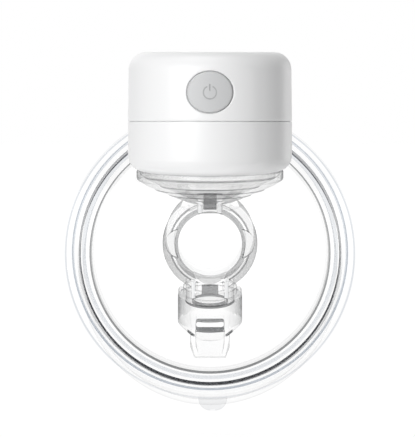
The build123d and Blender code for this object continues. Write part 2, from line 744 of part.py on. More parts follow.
# ---------------------------------------------------------- milk collector
# Bowl curves, (radius, y) about the rim's axis
BOWL_OUTSIDE = [
    (BOWL_R, RIM_Y), (52.3, 5.0), (48.4, -10.0), (41.6, -23.6),
    (30.5, -33.8), (15.5, -39.9), (0, -41.6),
]
BOWL_INSIDE = [
    (BOWL_R - 1.62, RIM_Y + 0.6), (50.7, 5.2), (46.9, -9.2), (40.4, -22.5),
    (29.6, -32.3), (15.1, -38.3), (0, -40.0),
]
# Pocket for the motor unit, (radius, z[, rounding]) about the unit's axis
POCKET_INSIDE = [
    (0, 15.9), (8.8, 15.9, 1.0), (16.7, 19.7), (23.0, 22.8, 4), (27.3, 25.2, 2),
    (31.0, 28.6, 2), (31.0, 90), (0, 90),
]
POCKET_OUTSIDE = [
    (0, 14.3), (9.3, 14.3, 1.5), (17.3, 18.2), (23.6, 21.3, 4), (28.0, 23.8, 3),
    (32.6, 27.9, 2.5), (32.6, 92), (0, 92),
]


def bowl_solid(points, back_y):
    """Solid bowl under a curve, closed by a flat back at back_y."""
    rim, second = points[:2]
    start = (second[0] - rim[0], second[1] - rim[1])
    curve = Spline(*points, tangents=[start, (-1, 0)])
    edges = [curve, Line(points[-1], (0, back_y)), Line((0, back_y), (rim[0], back_y))]
    if abs(back_y - rim[1]) > 1e-6:
        edges.append(Line((rim[0], back_y), rim))
    return Pos(0, 0, RIM_Z) * revolve(make_face(edges), Axis.Y, 360)


def milk_collector():
    outside = bowl_solid(BOWL_OUTSIDE, RIM_Y)
    void = bowl_solid(BOWL_INSIDE, RIM_Y + 6)
    pocket_skin = lathe_z(POCKET_OUTSIDE, UNIT_Y)
    collector = outside - lathe_z(POCKET_INSIDE, UNIT_Y) - (void - pocket_skin)
    collector = collector + lathe_y(
        [
            (BOWL_R - BOWL_WALL, RIM_Y),
            (FLANGE_R, RIM_Y, 0.5),
            (FLANGE_R, RIM_Y + FLANGE_T, 0.5),
            (BOWL_R - BOWL_WALL, RIM_Y + FLANGE_T),
        ],
        RIM_Z,
    )
    # opening in the pocket's floor for the linker
    return collector - Pos(0, 1.0, 4) * extrude(RectangleRounded(38.8, 27.0, 6.0), 36)


# ----------------------------------------------------------- breast shield
SHIELD_R = 63.3            # outer radius of the shield's lip
TAB_W, TAB_L = 12.4, 5.2   # pull tab under the lip
# Flare sections: (centre z, radius, y)
FLARE_FRONT = [(0, 13.0, 18.0), (-2.6, 24.0, 20.6), (-6.8, 40.0, 25.0), (RIM_Z, 51.2, 30.6)]
FLARE_BACK = [(0, 11.2, 18.0), (-2.6, 22.5, 22.0), (-6.8, 38.6, 26.6), (RIM_Z, 50.5, 32.4)]


def flare(sections):
    return loft([Pos(0, y, z) * Rot(90, 0, 0) * Circle(r) for z, r, y in sections])


def breast_shield():
    tunnel = cyl_y(TUNNEL_R + TUNNEL_WALL, TUNNEL_Y0, 19.2, 0, 0)
    tunnel = fillet(tunnel.edges().filter_by(GeomType.CIRCLE).sort_by(Axis.Y)[0], 0.6)
    # lip that wraps the collector's flange, with a ring inside the bowl's mouth
    seat_y = RIM_Y + FLANGE_T + 0.1
    back_y = RIM_Y + FLANGE_T + 1.9
    lip = lathe_y(
        [
            (50.0, seat_y),
            (52.4, seat_y),
            (52.4, RIM_Y - 1.8, 0.6),
            (BOWL_R - 2.6, RIM_Y - 1.8, 0.6),
            (BOWL_R - 2.6, seat_y, 0.3),
            (FLANGE_R + 0.12, seat_y, 0.3),
            (FLANGE_R + 0.12, RIM_Y - 2.6, 0.5),
            (SHIELD_R, RIM_Y - 2.6, 1.2),
            (SHIELD_R, back_y, 1.4),
            (50.0, back_y),
        ],
        RIM_Z,
    )
    lip_z = RIM_Z - SHIELD_R
    tab_face = symmetric([(-TAB_W / 2, lip_z + 2.2), (-TAB_W / 2, lip_z - TAB_L, 4.9)])
    tab = slab_y(tab_face, RIM_Y - 0.4, RIM_Y + 1.4, 1.2, 0)
    shield = flare(FLARE_FRONT) + tunnel + lip + tab
    return shield - flare(FLARE_BACK) - cyl_y(TUNNEL_R, -10, 19.4, 0, 0)


# ------------------------------------------------------------------ export
PARTS = {
    "milk_collector": milk_collector,
    "linker": linker,
    "breast_shield": breast_shield,
    "duckbill_valve": duckbill_valve,
    "backflow_diaphragm": backflow_diaphragm,
    "upper_housing": upper_housing,
    "lower_housing": lower_housing,
    "housing_gasket": housing_gasket,
    "housing_screws": housing_screws,
    "suction_port_seal": suction_port_seal,
    "power_button": power_button,
    "switch_plunger": switch_plunger,
    "tact_switch": tact_switch,
    "control_board": control_board,
    "board_components": board_components,
    "battery_cell": battery_cell,
    "battery_pad": battery_pad,
    "charging_socket": charging_socket,
    "charging_board": charging_board,
    "motor_can": motor_can,
    "motor_magnets": motor_magnets,
    "motor_end_cap": motor_end_cap,
    "motor_bushing": motor_bushing,
    "motor_shaft": motor_shaft,
    "motor_armature": motor_armature,
    "eccentric_crank": eccentric_crank,
    "connecting_rod": connecting_rod,
    "pump_rubber": pump_rubber,
    "pump_frame": pump_frame,
    "pump_head": pump_head,
    "valve_plate": valve_plate,
    "umbrella_valves": umbrella_valves,
    "pump_cover": pump_cover,
    "pump_head_screws": pump_head_screws,
    "solenoid_frame": solenoid_frame,
    "solenoid_coil": solenoid_coil,
    "solenoid_plunger": solenoid_plunger,
    "solenoid_spring": solenoid_spring,
    "suction_sleeve": suction_sleeve,
    "release_tube": release_tube,
    "motor_leads": motor_leads,
}
for name, build in PARTS.items():
    save(name, build())
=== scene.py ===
import bpy
import bmesh
import json
import math
import numpy as np
from mathutils import Vector, Matrix


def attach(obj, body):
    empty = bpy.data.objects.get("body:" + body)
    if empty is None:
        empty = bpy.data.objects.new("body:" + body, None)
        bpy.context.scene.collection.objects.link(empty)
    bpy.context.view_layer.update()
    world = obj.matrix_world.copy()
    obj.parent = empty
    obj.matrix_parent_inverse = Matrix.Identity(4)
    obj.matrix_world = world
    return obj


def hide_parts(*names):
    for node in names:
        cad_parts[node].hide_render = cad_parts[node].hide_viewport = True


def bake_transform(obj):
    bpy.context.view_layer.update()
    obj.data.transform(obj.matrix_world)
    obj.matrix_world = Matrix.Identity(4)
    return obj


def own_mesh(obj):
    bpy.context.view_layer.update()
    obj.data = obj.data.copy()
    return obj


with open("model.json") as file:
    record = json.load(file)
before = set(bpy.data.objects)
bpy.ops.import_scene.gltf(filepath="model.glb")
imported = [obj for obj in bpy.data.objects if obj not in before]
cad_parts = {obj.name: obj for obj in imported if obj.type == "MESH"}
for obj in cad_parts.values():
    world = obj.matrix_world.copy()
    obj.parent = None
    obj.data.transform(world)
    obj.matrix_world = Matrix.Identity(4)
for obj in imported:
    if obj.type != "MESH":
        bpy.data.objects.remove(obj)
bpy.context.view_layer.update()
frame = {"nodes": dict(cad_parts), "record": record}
MM = 0.001
scene = bpy.context.scene

# ------------------------------------------------------------------ dimensions (mm)
MOTOR_Y = -15.0
SEAM_Z, SEAM_GAP = 46.1, 0.2
SEAM_LO, SEAM_HI = SEAM_Z - SEAM_GAP / 2, SEAM_Z + SEAM_GAP / 2
TOP_Z, TILT = 71.46, math.tan(math.radians(6.606))
HR, HTR, HW, HB = 29.65, 29.3, 2.0, 27.6
HEAD_F, FOOT_F = 6.4, 9.5
LIP_OUT, LIP_IN = HR - 0.62, HR - HW
BTN_A, BTN_B, BTN_Z, BTN_GAP, BTN_R = 7.2, 6.45, 55.4, 0.28, 29.8
RIM_Z, RIM_Y = -10.9, 27.5
BOWL_R, FLANGE_R, SHIELD_R = 57.1, 60.2, 63.3
SCREWS = [(21.8, -24.5), (-21.8, -24.5), (-9.0, 8.6)]


# ------------------------------------------------------------------------- helpers
def rounded(points, seg=6):
    """Closed outline of (a, b[, radius]) corners with each corner turned into an arc."""
    out = []
    n = len(points)
    for i, p in enumerate(points):
        v = Vector((p[0], p[1]))
        r = p[2] if len(p) > 2 else 0
        if r <= 0:
            out.append((v.x, v.y))
            continue
        a = Vector(points[i - 1][:2])
        b = Vector(points[(i + 1) % n][:2])
        u1, u2 = (a - v).normalized(), (b - v).normalized()
        cosang = max(-1, min(1, u1.dot(u2)))
        half = math.acos(cosang) / 2
        if half > math.pi / 2 - 1e-3:
            out.append((v.x, v.y))
            continue
        d = r / math.tan(half)
        d = min(d, (a - v).length * 0.499, (b - v).length * 0.499)
        r = d * math.tan(half)
        c = v + (u1 + u2).normalized() * (r / math.sin(half))
        t1, t2 = v + u1 * d, v + u2 * d
        a1 = math.atan2(t1.y - c.y, t1.x - c.x)
        a2 = math.atan2(t2.y - c.y, t2.x - c.x)
        da = (a2 - a1 + math.pi) % (2 * math.pi) - math.pi
        k = max(2, int(math.ceil(abs(da) / (math.pi / 2) * seg)))
        for j in range(k + 1):
            t = a1 + da * j / k
            out.append((c.x + r * math.cos(t), c.y + r * math.sin(t)))
    return out


def clean(bm, merge=1e-7):
    bmesh.ops.remove_doubles(bm, verts=bm.verts, dist=merge)
    bmesh.ops.dissolve_degenerate(bm, edges=bm.edges, dist=merge)
    bmesh.ops.recalc_face_normals(bm, faces=bm.faces)


def make(name, verts, faces, merge=2e-7):
    me = bpy.data.meshes.new(name)
    me.from_pydata([tuple(v) for v in verts], [], faces)
    bm = bmesh.new()
    bm.from_mesh(me)
    clean(bm, merge)
    bm.to_mesh(me)
    bm.free()
    o = bpy.data.objects.new(name, me)
    scene.collection.objects.link(o)
    return o


def grid_solid(name, loops):
    """loops: list of equally long closed rings of points in mm; the last ring joins the first."""
    m, n = len(loops), len(loops[0])
    verts = [Vector(p) * MM for ring in loops for p in ring]
    faces = []
    for i in range(m):
        j = (i + 1) % m
        for k in range(n):
            l = (k + 1) % n
            faces.append((i * n + k, i * n + l, j * n + l, j * n + k))
    return make(name, verts, faces)


def lathe(name, pts, center=(0, 0, 0), axis="Z", n=128):
    """Closed (radius, along) outline turned about an axis through center. Radius 0 makes a pole."""
    loops = []
    for r, h in pts:
        r = max(r, 0.0)
        ring = []
        for k in range(n):
            t = 2 * math.pi * k / n
            c, s = r * math.cos(t), r * math.sin(t)
            if axis == "Z":
                ring.append((center[0] + c, center[1] + s, center[2] + h))
            elif axis == "Y":
                ring.append((center[0] + c, center[1] + h, center[2] + s))
            else:
                ring.append((center[0] + h, center[1] + c, center[2] + s))
        loops.append(ring)
    o = grid_solid(name, loops)
    # the strip that runs along the axis itself has no width
    bm = bmesh.new()
    bm.from_mesh(o.data)
    bad = [f for f in bm.faces if f.calc_area() < 1e-14]
    bmesh.ops.delete(bm, geom=bad, context="FACES_ONLY")
    loose = [e for e in bm.edges if not e.link_faces]
    bmesh.ops.delete(bm, geom=loose, context="EDGES")
    loose = [v for v in bm.verts if not v.link_faces]
    bmesh.ops.delete(bm, geom=loose, context="VERTS")
    bmesh.ops.recalc_face_normals(bm, faces=bm.faces)
    bm.to_mesh(o.data)
    bm.free()
    return o


def prism(name, outline_pts, lo, hi, axis="Y", x=0.0, z=0.0, y=0.0):
    """Outline pushed from lo to hi along an axis: axis Y takes (x, z) outlines, Z takes (x, y), X takes (y, z)."""
    n = len(outline_pts)
    verts = []
    for h in (lo, hi):
        for a, b in outline_pts:
            if axis == "Y":
                verts.append(Vector((x + a, h, z + b)) * MM)
            elif axis == "Z":
                verts.append(Vector((x + a, y + b, h)) * MM)
            else:
                verts.append(Vector((h, y + a, z + b)) * MM)
    faces = [tuple(range(n)), tuple(range(2 * n - 1, n - 1, -1))]
    for k in range(n):
        l = (k + 1) % n
        faces.append((k, l, n + l, n + k))
    return make(name, verts, faces)


def loft(name, sections):
    """Solid through equally long closed sections, capped at both ends."""
    m, n = len(sections), len(sections[0])
    verts = [Vector(p) * MM for s in sections for p in s]
    faces = [tuple(range(n)), tuple((m - 1) * n + k for k in range(n - 1, -1, -1))]
    for i in range(m - 1):
        for k in range(n):
            l = (k + 1) % n
            faces.append((i * n + k, i * n + l, (i + 1) * n + l, (i + 1) * n + k))
    return make(name, verts, faces)


def cube(name, x0, x1, y0, y1, z0, z1, bevel=0.0, seg=3):
    o = prism(name, [(x0, y0), (x1, y0), (x1, y1), (x0, y1)], z0, z1, "Z")
    if bevel:
        bev(o, bevel, seg)
    return o


def cyl(name, r, lo, hi, center=(0, 0), axis="Z", n=64):
    pts = [(r * math.cos(2 * math.pi * k / n), r * math.sin(2 * math.pi * k / n)) for k in range(n)]
    if axis == "Z":
        return prism(name, pts, lo, hi, "Z", x=center[0], y=center[1])
    if axis == "Y":
        return prism(name, pts, lo, hi, "Y", x=center[0], z=center[1])
    return prism(name, pts, lo, hi, "X", y=center[0], z=center[1])


def apply_mods(o):
    dg = bpy.context.evaluated_depsgraph_get()
    me = bpy.data.meshes.new_from_object(o.evaluated_get(dg))
    old = o.data
    o.modifiers.clear()
    o.data = me
    bpy.data.meshes.remove(old)


def bev(o, width, seg=3, angle=35):
    m = o.modifiers.new("b", "BEVEL")
    m.width = width * MM
    m.segments = seg
    m.limit_method = "ANGLE"
    m.angle_limit = math.radians(angle)
    m.use_clamp_overlap = True
    apply_mods(o)
    return o


def boolean(o, other, op="DIFFERENCE", keep=False):
    m = o.modifiers.new("bool", "BOOLEAN")
    m.operation = op
    m.solver = "MANIFOLD"
    m.object = other
    before = len(o.data.vertices)
    dg = bpy.context.evaluated_depsgraph_get()
    me = bpy.data.meshes.new_from_object(o.evaluated_get(dg))
    if len(me.vertices) == 0 or (len(me.vertices) == before and op != "INTERSECT"):
        m.solver = "EXACT"
        dg = bpy.context.evaluated_depsgraph_get()
        me = bpy.data.meshes.new_from_object(o.evaluated_get(dg))
    old = o.data
    o.modifiers.clear()
    o.data = me
    bpy.data.meshes.remove(old)
    if not keep:
        gone = other.data
        bpy.data.objects.remove(other)
        bpy.data.meshes.remove(gone)
    return o


def union(o, *others):
    for x in others:
        boolean(o, x, "UNION")
    return o


def cut(o, *others):
    for x in others:
        boolean(o, x, "DIFFERENCE")
    return o


def tidy(o, angle=32):
    bm = bmesh.new()
    bm.from_mesh(o.data)
    bmesh.ops.remove_doubles(bm, verts=bm.verts, dist=2e-6)
    bmesh.ops.dissolve_degenerate(bm, edges=bm.edges, dist=2e-6)
    bmesh.ops.recalc_face_normals(bm, faces=bm.faces)
    bm.to_mesh(o.data)
    bm.free()
    for p in o.data.polygons:
        p.use_smooth = True
    o.data.set_sharp_from_angle(angle=math.radians(angle))
    return o


def rr(a, b, r, seg=8):
    """Rounded rectangle outline with half sizes a, b."""
    return rounded([(-a, -b, r), (a, -b, r), (a, b, r), (-a, b, r)], seg)


def stadium(a, b, seg=16):
    return rr(a, b, min(a, b) * 0.999, seg)


def ellipse(a, b, n=96):
    return [(a * math.cos(2 * math.pi * k / n), b * math.sin(2 * math.pi * k / n)) for k in range(n)]


# ----------------------------------------------------------------------- materials
def new_mat(name):
    m = bpy.data.materials.new(name)
    m.use_nodes = True
    nt = m.node_tree
    nt.nodes.clear()
    out = nt.nodes.new("ShaderNodeOutputMaterial")
    return m, nt, out


def node(nt, kind, **kw):
    n = nt.nodes.new(kind)
    for k, v in kw.items():
        if k in n.inputs:
            n.inputs[k].default_value = v
        else:
            setattr(n, k, v)
    return n


def fine_noise(nt, scale, detail=3.0, rough=0.5):
    tc = node(nt, "ShaderNodeTexCoord")
    nz = node(nt, "ShaderNodeTexNoise")
    nz.inputs["Scale"].default_value = scale
    nz.inputs["Detail"].default_value = detail
    nz.inputs["Roughness"].default_value = rough
    nt.links.new(tc.outputs["Object"], nz.inputs["Vector"])
    return nz


def plastic(name, color, rough=0.35, spec=0.5, grain=900.0, bump=0.02, tone=0.02, coat=0.0, sss=0.0, metallic=0.0):
    m, nt, out = new_mat(name)
    b = node(nt, "ShaderNodeBsdfPrincipled")
    b.inputs["Metallic"].default_value = metallic
    b.inputs["Specular IOR Level"].default_value = spec
    b.inputs["Coat Weight"].default_value = coat
    b.inputs["Coat Roughness"].default_value = 0.15
    if sss:
        b.inputs["Subsurface Weight"].default_value = sss
        b.inputs["Subsurface Radius"].default_value = (0.002, 0.002, 0.002)
    big = fine_noise(nt, 22.0, 2.0)
    ramp = node(nt, "ShaderNodeMapRange")
    ramp.inputs["To Min"].default_value = 1.0 - tone
    ramp.inputs["To Max"].default_value = 1.0 + tone * 0.3
    nt.links.new(big.outputs["Fac"], ramp.inputs["Value"])
    mul = node(nt, "ShaderNodeVectorMath", operation="SCALE")
    mul.inputs[0].default_value = color[:3]
    nt.links.new(ramp.outputs["Result"], mul.inputs["Scale"])
    nt.links.new(mul.outputs["Vector"], b.inputs["Base Color"])
    small = fine_noise(nt, grain, 4.0, 0.6)
    rr_ = node(nt, "ShaderNodeMapRange")
    rr_.inputs["To Min"].default_value = max(0.0, rough - 0.05)
    rr_.inputs["To Max"].default_value = rough + 0.07
    nt.links.new(small.outputs["Fac"], rr_.inputs["Value"])
    nt.links.new(rr_.outputs["Result"], b.inputs["Roughness"])
    if bump:
        bp = node(nt, "ShaderNodeBump")
        bp.inputs["Strength"].default_value = bump
        bp.inputs["Distance"].default_value = 0.0002
        nt.links.new(small.outputs["Fac"], bp.inputs["Height"])
        nt.links.new(bp.outputs["Normal"], b.inputs["Normal"])
    nt.links.new(b.outputs["BSDF"], out.inputs["Surface"])
    return m


def clear(name, color=(0.98, 0.985, 0.985), ior=1.45, rough=0.01, shadow=0.85, body=0.0, body_color=(0.9, 0.9, 0.9), density=0.0):
    """Refracting plastic or silicone that lets light through in its shadow; body adds a milky share."""
    m, nt, out = new_mat(name)
    g = node(nt, "ShaderNodeBsdfPrincipled")
    g.inputs["Base Color"].default_value = (*color, 1)
    g.inputs["Transmission Weight"].default_value = 1.0 - body
    g.inputs["IOR"].default_value = ior
    nz = fine_noise(nt, 260.0, 3.0)
    mr = node(nt, "ShaderNodeMapRange")
    mr.inputs["To Min"].default_value = rough
    mr.inputs["To Max"].default_value = rough + 0.035
    nt.links.new(nz.outputs["Fac"], mr.inputs["Value"])
    nt.links.new(mr.outputs["Result"], g.inputs["Roughness"])
    wav = fine_noise(nt, 60.0, 1.0)
    bp = node(nt, "ShaderNodeBump")
    bp.inputs["Strength"].default_value = 0.05
    bp.inputs["Distance"].default_value = 0.0004
    nt.links.new(wav.outputs["Fac"], bp.inputs["Height"])
    nt.links.new(bp.outputs["Normal"], g.inputs["Normal"])
    t = node(nt, "ShaderNodeBsdfTransparent")
    t.inputs["Color"].default_value = (shadow, shadow, shadow, 1)
    lp = node(nt, "ShaderNodeLightPath")
    mx = node(nt, "ShaderNodeMixShader")
    nt.links.new(lp.outputs["Is Shadow Ray"], mx.inputs["Fac"])
    nt.links.new(g.outputs["BSDF"], mx.inputs[1])
    nt.links.new(t.outputs["BSDF"], mx.inputs[2])
    nt.links.new(mx.outputs["Shader"], out.inputs["Surface"])
    if density:
        v = node(nt, "ShaderNodeVolumeAbsorption")
        v.inputs["Color"].default_value = (*body_color, 1)
        v.inputs["Density"].default_value = density
        nt.links.new(v.outputs["Volume"], out.inputs["Volume"])
    return m


def film(name, face=0.02, edge=0.45, tint=(0.80, 0.82, 0.84), power=3.0, gloss=0.3, glass=0.0, ior=1.45, rough=0.02, low=None, line=0.0):
    """Clear wall with painted shade: nearly white face on, greyer where it is seen edge on, plus a share of real
    refraction.
    low = (z0, z1, gain): painted shade by height; the edge darkening grows by gain from height z1 down to z0."""
    m, nt, out = new_mat(name)
    t = node(nt, "ShaderNodeBsdfTransparent")
    lw = node(nt, "ShaderNodeLayerWeight")
    lw.inputs["Blend"].default_value = 0.5
    pw = node(nt, "ShaderNodeMath", operation="POWER")
    pw.inputs[1].default_value = power
    nt.links.new(lw.outputs["Facing"], pw.inputs[0])
    mr = node(nt, "ShaderNodeMapRange")
    mr.inputs["To Min"].default_value = face
    mr.inputs["To Max"].default_value = edge
    nt.links.new(pw.outputs["Value"], mr.inputs["Value"])
    nz = fine_noise(nt, 30.0, 2.0)
    nr = node(nt, "ShaderNodeMapRange")
    nr.inputs["To Min"].default_value = 0.85
    nr.inputs["To Max"].default_value = 1.12
    nt.links.new(nz.outputs["Fac"], nr.inputs["Value"])
    mm = node(nt, "ShaderNodeMath", operation="MULTIPLY")
    nt.links.new(mr.outputs["Result"], mm.inputs[0])
    nt.links.new(nr.outputs["Result"], mm.inputs[1])
    fac = mm
    if low:
        tc = node(nt, "ShaderNodeTexCoord")
        sp = node(nt, "ShaderNodeSeparateXYZ")
        nt.links.new(tc.outputs["Object"], sp.inputs["Vector"])
        gr = node(nt, "ShaderNodeMapRange")
        gr.inputs["From Min"].default_value = low[0] * MM
        gr.inputs["From Max"].default_value = low[1] * MM
        gr.inputs["To Min"].default_value = low[2]
        gr.inputs["To Max"].default_value = 1.0
        nt.links.new(sp.outputs["Z"], gr.inputs["Value"])
        fac = node(nt, "ShaderNodeMath", operation="MULTIPLY")
        nt.links.new(mm.outputs["Value"], fac.inputs[0])
        nt.links.new(gr.outputs["Result"], fac.inputs[1])
    fac.use_clamp = True
    col = node(nt, "ShaderNodeMix", data_type="RGBA")
    col.inputs[6].default_value = (1, 1, 1, 1)
    col.inputs[7].default_value = (*tint, 1)
    nt.links.new(fac.outputs["Value"], col.inputs["Factor"])
    nt.links.new(col.outputs[2], t.inputs["Color"])
    lp = node(nt, "ShaderNodeLightPath")
    solid = node(nt, "ShaderNodeMath", operation="SUBTRACT")
    solid.inputs[0].default_value = 1.0
    nt.links.new(lp.outputs["Is Shadow Ray"], solid.inputs[1])
    last = t
    if glass:
        g = node(nt, "ShaderNodeBsdfGlass")
        g.inputs["IOR"].default_value = ior
        g.inputs["Color"].default_value = (0.97, 0.975, 0.98, 1)
        rn = node(nt, "ShaderNodeMapRange")
        rn.inputs["To Min"].default_value = rough
        rn.inputs["To Max"].default_value = rough + 0.04
        fn = fine_noise(nt, 260.0, 3.0)
        nt.links.new(fn.outputs["Fac"], rn.inputs["Value"])
        nt.links.new(rn.outputs["Result"], g.inputs["Roughness"])
        gf = node(nt, "ShaderNodeMath", operation="MULTIPLY")
        gf.inputs[1].default_value = glass
        nt.links.new(solid.outputs["Value"], gf.inputs[0])
        m1 = node(nt, "ShaderNodeMixShader")
        nt.links.new(gf.outputs["Value"], m1.inputs["Fac"])
        nt.links.new(t.outputs["BSDF"], m1.inputs[1])
        nt.links.new(g.outputs["BSDF"], m1.inputs[2])
        last = m1
    gl = node(nt, "ShaderNodeBsdfGlossy")
    gl.inputs["Roughness"].default_value = 0.06
    fr = node(nt, "ShaderNodeFresnel")
    fr.inputs["IOR"].default_value = 1.45
    fm = node(nt, "ShaderNodeMath", operation="MULTIPLY")
    fm.inputs[1].default_value = gloss
    nt.links.new(fr.outputs["Fac"], fm.inputs[0])
    fm2 = node(nt, "ShaderNodeMath", operation="MULTIPLY")
    nt.links.new(fm.outputs["Value"], fm2.inputs[0])
    nt.links.new(solid.outputs["Value"], fm2.inputs[1])
    mx = node(nt, "ShaderNodeMixShader")
    nt.links.new(fm2.outputs["Value"], mx.inputs["Fac"])
    nt.links.new(last.outputs[0], mx.inputs[1])
    nt.links.new(gl.outputs["BSDF"], mx.inputs[2])
    nt.links.new(mx.outputs["Shader"], out.inputs["Surface"])
    return m


M = {
    "housing_white": plastic("housing_white", (0.86, 0.862, 0.865), rough=0.38, bump=0.015, tone=0.012, sss=0.0),
    # the next entry is painted shade: a darker grey for the floor of the button's sunk symbol
    "button_recess_shade": plastic("button_recess_shade", (0.46, 0.465, 0.47), rough=0.6, bump=0.05, tone=0.05),
    "button_grey": plastic("button_grey", (0.575, 0.58, 0.585), rough=0.5, bump=0.05, tone=0.03),
    "gasket_grey": plastic("gasket_grey", (0.17, 0.17, 0.18), rough=0.6, bump=0.1, tone=0.06),
    "board_green": plastic("board_green", (0.02, 0.16, 0.06), rough=0.35, grain=400, bump=0.2, tone=0.25),
    "chip_black": plastic("chip_black", (0.02, 0.02, 0.022), rough=0.5, bump=0.1, tone=0.2),
    "steel": plastic("steel", (0.55, 0.56, 0.57), rough=0.3, bump=0.05, tone=0.08, metallic=1.0),
    "brass": plastic("brass", (0.62, 0.43, 0.16), rough=0.3, bump=0.05, tone=0.1, metallic=1.0),
    "cell_foil": plastic("cell_foil", (0.5, 0.52, 0.55), rough=0.38, bump=0.25, tone=0.12, metallic=1.0, grain=180),
    "foam": plastic("foam", (0.04, 0.04, 0.042), rough=0.95, bump=0.6, tone=0.3, grain=1400),
    "magnet": plastic("magnet", (0.05, 0.05, 0.052), rough=0.55, bump=0.1, tone=0.2, metallic=0.6),
    "natural_plastic": plastic("natural_plastic", (0.68, 0.66, 0.58), rough=0.5, bump=0.05, tone=0.06),
    "copper": plastic("copper", (0.7, 0.28, 0.12), rough=0.3, bump=0.5, tone=0.2, metallic=1.0, grain=1500),
    "lead_red": plastic("lead_red", (0.42, 0.02, 0.02), rough=0.45, bump=0.05, tone=0.1),
}
# Painted shade for the clear parts: the dark tint on the next line is the grey of painted shade, and the films below
# are given to regions of the clear walls by the repaint rules. Darker films paint shade and dark refracted edges,
# lighter ones leave a wall nearly clear, and the white plastic named highlight is a painted highlight.
SHADE_TINT = (0.12, 0.125, 0.13)
BLUE = (0.38, 0.43, 0.50)
M["clear_linker"] = film("clear_linker", face=0.012, edge=1.0, tint=SHADE_TINT, power=5.0, gloss=0.4, glass=0.07, ior=1.42)
M["dish_face"] = film("dish_face", face=0.0, edge=0.16, tint=SHADE_TINT, power=4.0, gloss=0.25)
M["dish_base"] = film("dish_base", face=0.09, edge=0.4, tint=SHADE_TINT, power=2.0, gloss=0.25)
M["dish_shade_line"] = film("dish_shade_line", face=0.68, edge=0.75, tint=SHADE_TINT, power=2.0, gloss=0.3)
M["dish_rim"] = film("dish_rim", face=0.015, edge=0.9, tint=SHADE_TINT, power=4.0, gloss=0.5, glass=0.05, ior=1.42)
M["saddle_face"] = film("saddle_face", face=0.36, edge=0.8, tint=SHADE_TINT, power=3.0, gloss=0.2)
M["window_shade"] = film("window_shade", face=0.74, edge=0.9, tint=SHADE_TINT, power=3.0, gloss=0.2)
M["neck_side"] = film("neck_side", face=0.20, edge=0.9, tint=SHADE_TINT, power=3.0, gloss=0.3)
M["neck_channel_shade"] = film("neck_channel_shade", face=0.46, edge=0.8, tint=SHADE_TINT, power=3.0, gloss=0.3)
M["ring_mid"] = film("ring_mid", face=0.55, edge=0.8, tint=SHADE_TINT, power=3.0, gloss=0.3)
M["ring_light"] = film("ring_light", face=0.19, edge=0.9, tint=SHADE_TINT, power=4.0, gloss=0.3)
M["ring_edge"] = film("ring_edge", face=0.10, edge=0.9, tint=SHADE_TINT, power=2.0, gloss=0.4)
M["ring_inner"] = film("ring_inner", face=0.0, edge=0.06, tint=SHADE_TINT, power=4.0, gloss=0.0)
M["spigot_face"] = film("spigot_face", face=0.16, edge=0.8, tint=SHADE_TINT, power=3.0, gloss=0.3)
M["linker_window"] = film("linker_window", face=0.0, edge=0.3, tint=SHADE_TINT, power=5.0, gloss=0.05)
M["linker_edge_shade"] = film("linker_edge_shade", face=0.8, edge=0.95, tint=SHADE_TINT, power=3.0, gloss=0.2)
M["highlight"] = plastic("highlight", (0.93, 0.935, 0.94), rough=0.25, bump=0.02, tone=0.02)
M["silicone_clear"] = film("silicone_clear", face=0.006, edge=0.9, tint=SHADE_TINT, power=4.5, gloss=0.35, glass=0.04, ior=1.3)
M["silicone_shade"] = film("silicone_shade", face=0.9, edge=0.9, tint=SHADE_TINT, power=3.0, gloss=0.2)
M["silicone_side"] = film("silicone_side", face=0.0, edge=0.72, tint=SHADE_TINT, power=1.4, gloss=0.3)
M["silicone_hidden"] = film("silicone_hidden", face=0.0, edge=0.06, tint=SHADE_TINT, power=4.0, gloss=0.0)
M["silicone_lip"] = film("silicone_lip", face=0.02, edge=0.6, tint=SHADE_TINT, power=3.0, gloss=0.3)
M["silicone_face"] = film("silicone_face", face=0.01, edge=0.25, tint=SHADE_TINT, power=4.0, gloss=0.04)
M["shield_rim"] = film("shield_rim", face=0.003, edge=0.3, tint=BLUE, power=4.0, gloss=0.1)
M["shield_side"] = film("shield_side", face=0.0, edge=0.16, tint=BLUE, power=3.0, gloss=0.1, low=(-76, -45, 0.2))
M["shield_edge"] = film("shield_edge", face=0.40, edge=0.6, tint=BLUE, power=3.0, gloss=0.05, low=(-74, -45, 0.5))
M["shield_shade_line"] = film("shield_shade_line", face=0.22, edge=1.08, tint=SHADE_TINT, power=1.5, gloss=0.05, low=(-74, -5, 1.75))
M["shield_mid"] = film("shield_mid", face=0.10, edge=0.80, tint=SHADE_TINT, power=1.5, gloss=0.05, low=(-74, -15, 0.3))
M["shield_soft"] = film("shield_soft", face=0.10, edge=0.3, tint=SHADE_TINT, power=2.0, gloss=0.05)
M["shield_band"] = film("shield_band", face=0.30, edge=0.5, tint=BLUE, power=3.0, gloss=0.05)
M["shield_tab"] = film("shield_tab", face=0.115, edge=0.2, tint=(0.42, 0.44, 0.47), power=3.0, gloss=0.05)
M["tunnel_end"] = film("tunnel_end", face=0.10, edge=0.3, tint=(0.35, 0.36, 0.37), power=3.0, gloss=0.1)
M["tunnel_wall"] = film("tunnel_wall", face=0.0, edge=0.07, tint=(0.35, 0.36, 0.37), power=4.0, gloss=0.0)
M["clear_shell"] = film("clear_shell", face=0.0, edge=0.13, tint=SHADE_TINT, power=9.0, gloss=0.0)
M["shell_shade_line"] = film("shell_shade_line", face=0.60, edge=0.8, tint=(0.08, 0.085, 0.10), power=2.0, gloss=0.05, low=(-72, 0, 1.15))
M["shell_wall"] = film("shell_wall", face=0.06, edge=1.12, tint=(0.08, 0.085, 0.10), power=1.5, gloss=0.05, low=(-72, -5, 1.22))
M["shell_fade"] = film("shell_fade", face=0.03, edge=0.05, tint=SHADE_TINT, power=2.0, gloss=0.05, low=(-70, -5, 24))
M["shell_soft"] = film("shell_soft", face=0.01, edge=0.10, tint=BLUE, power=3.0, gloss=0.0)
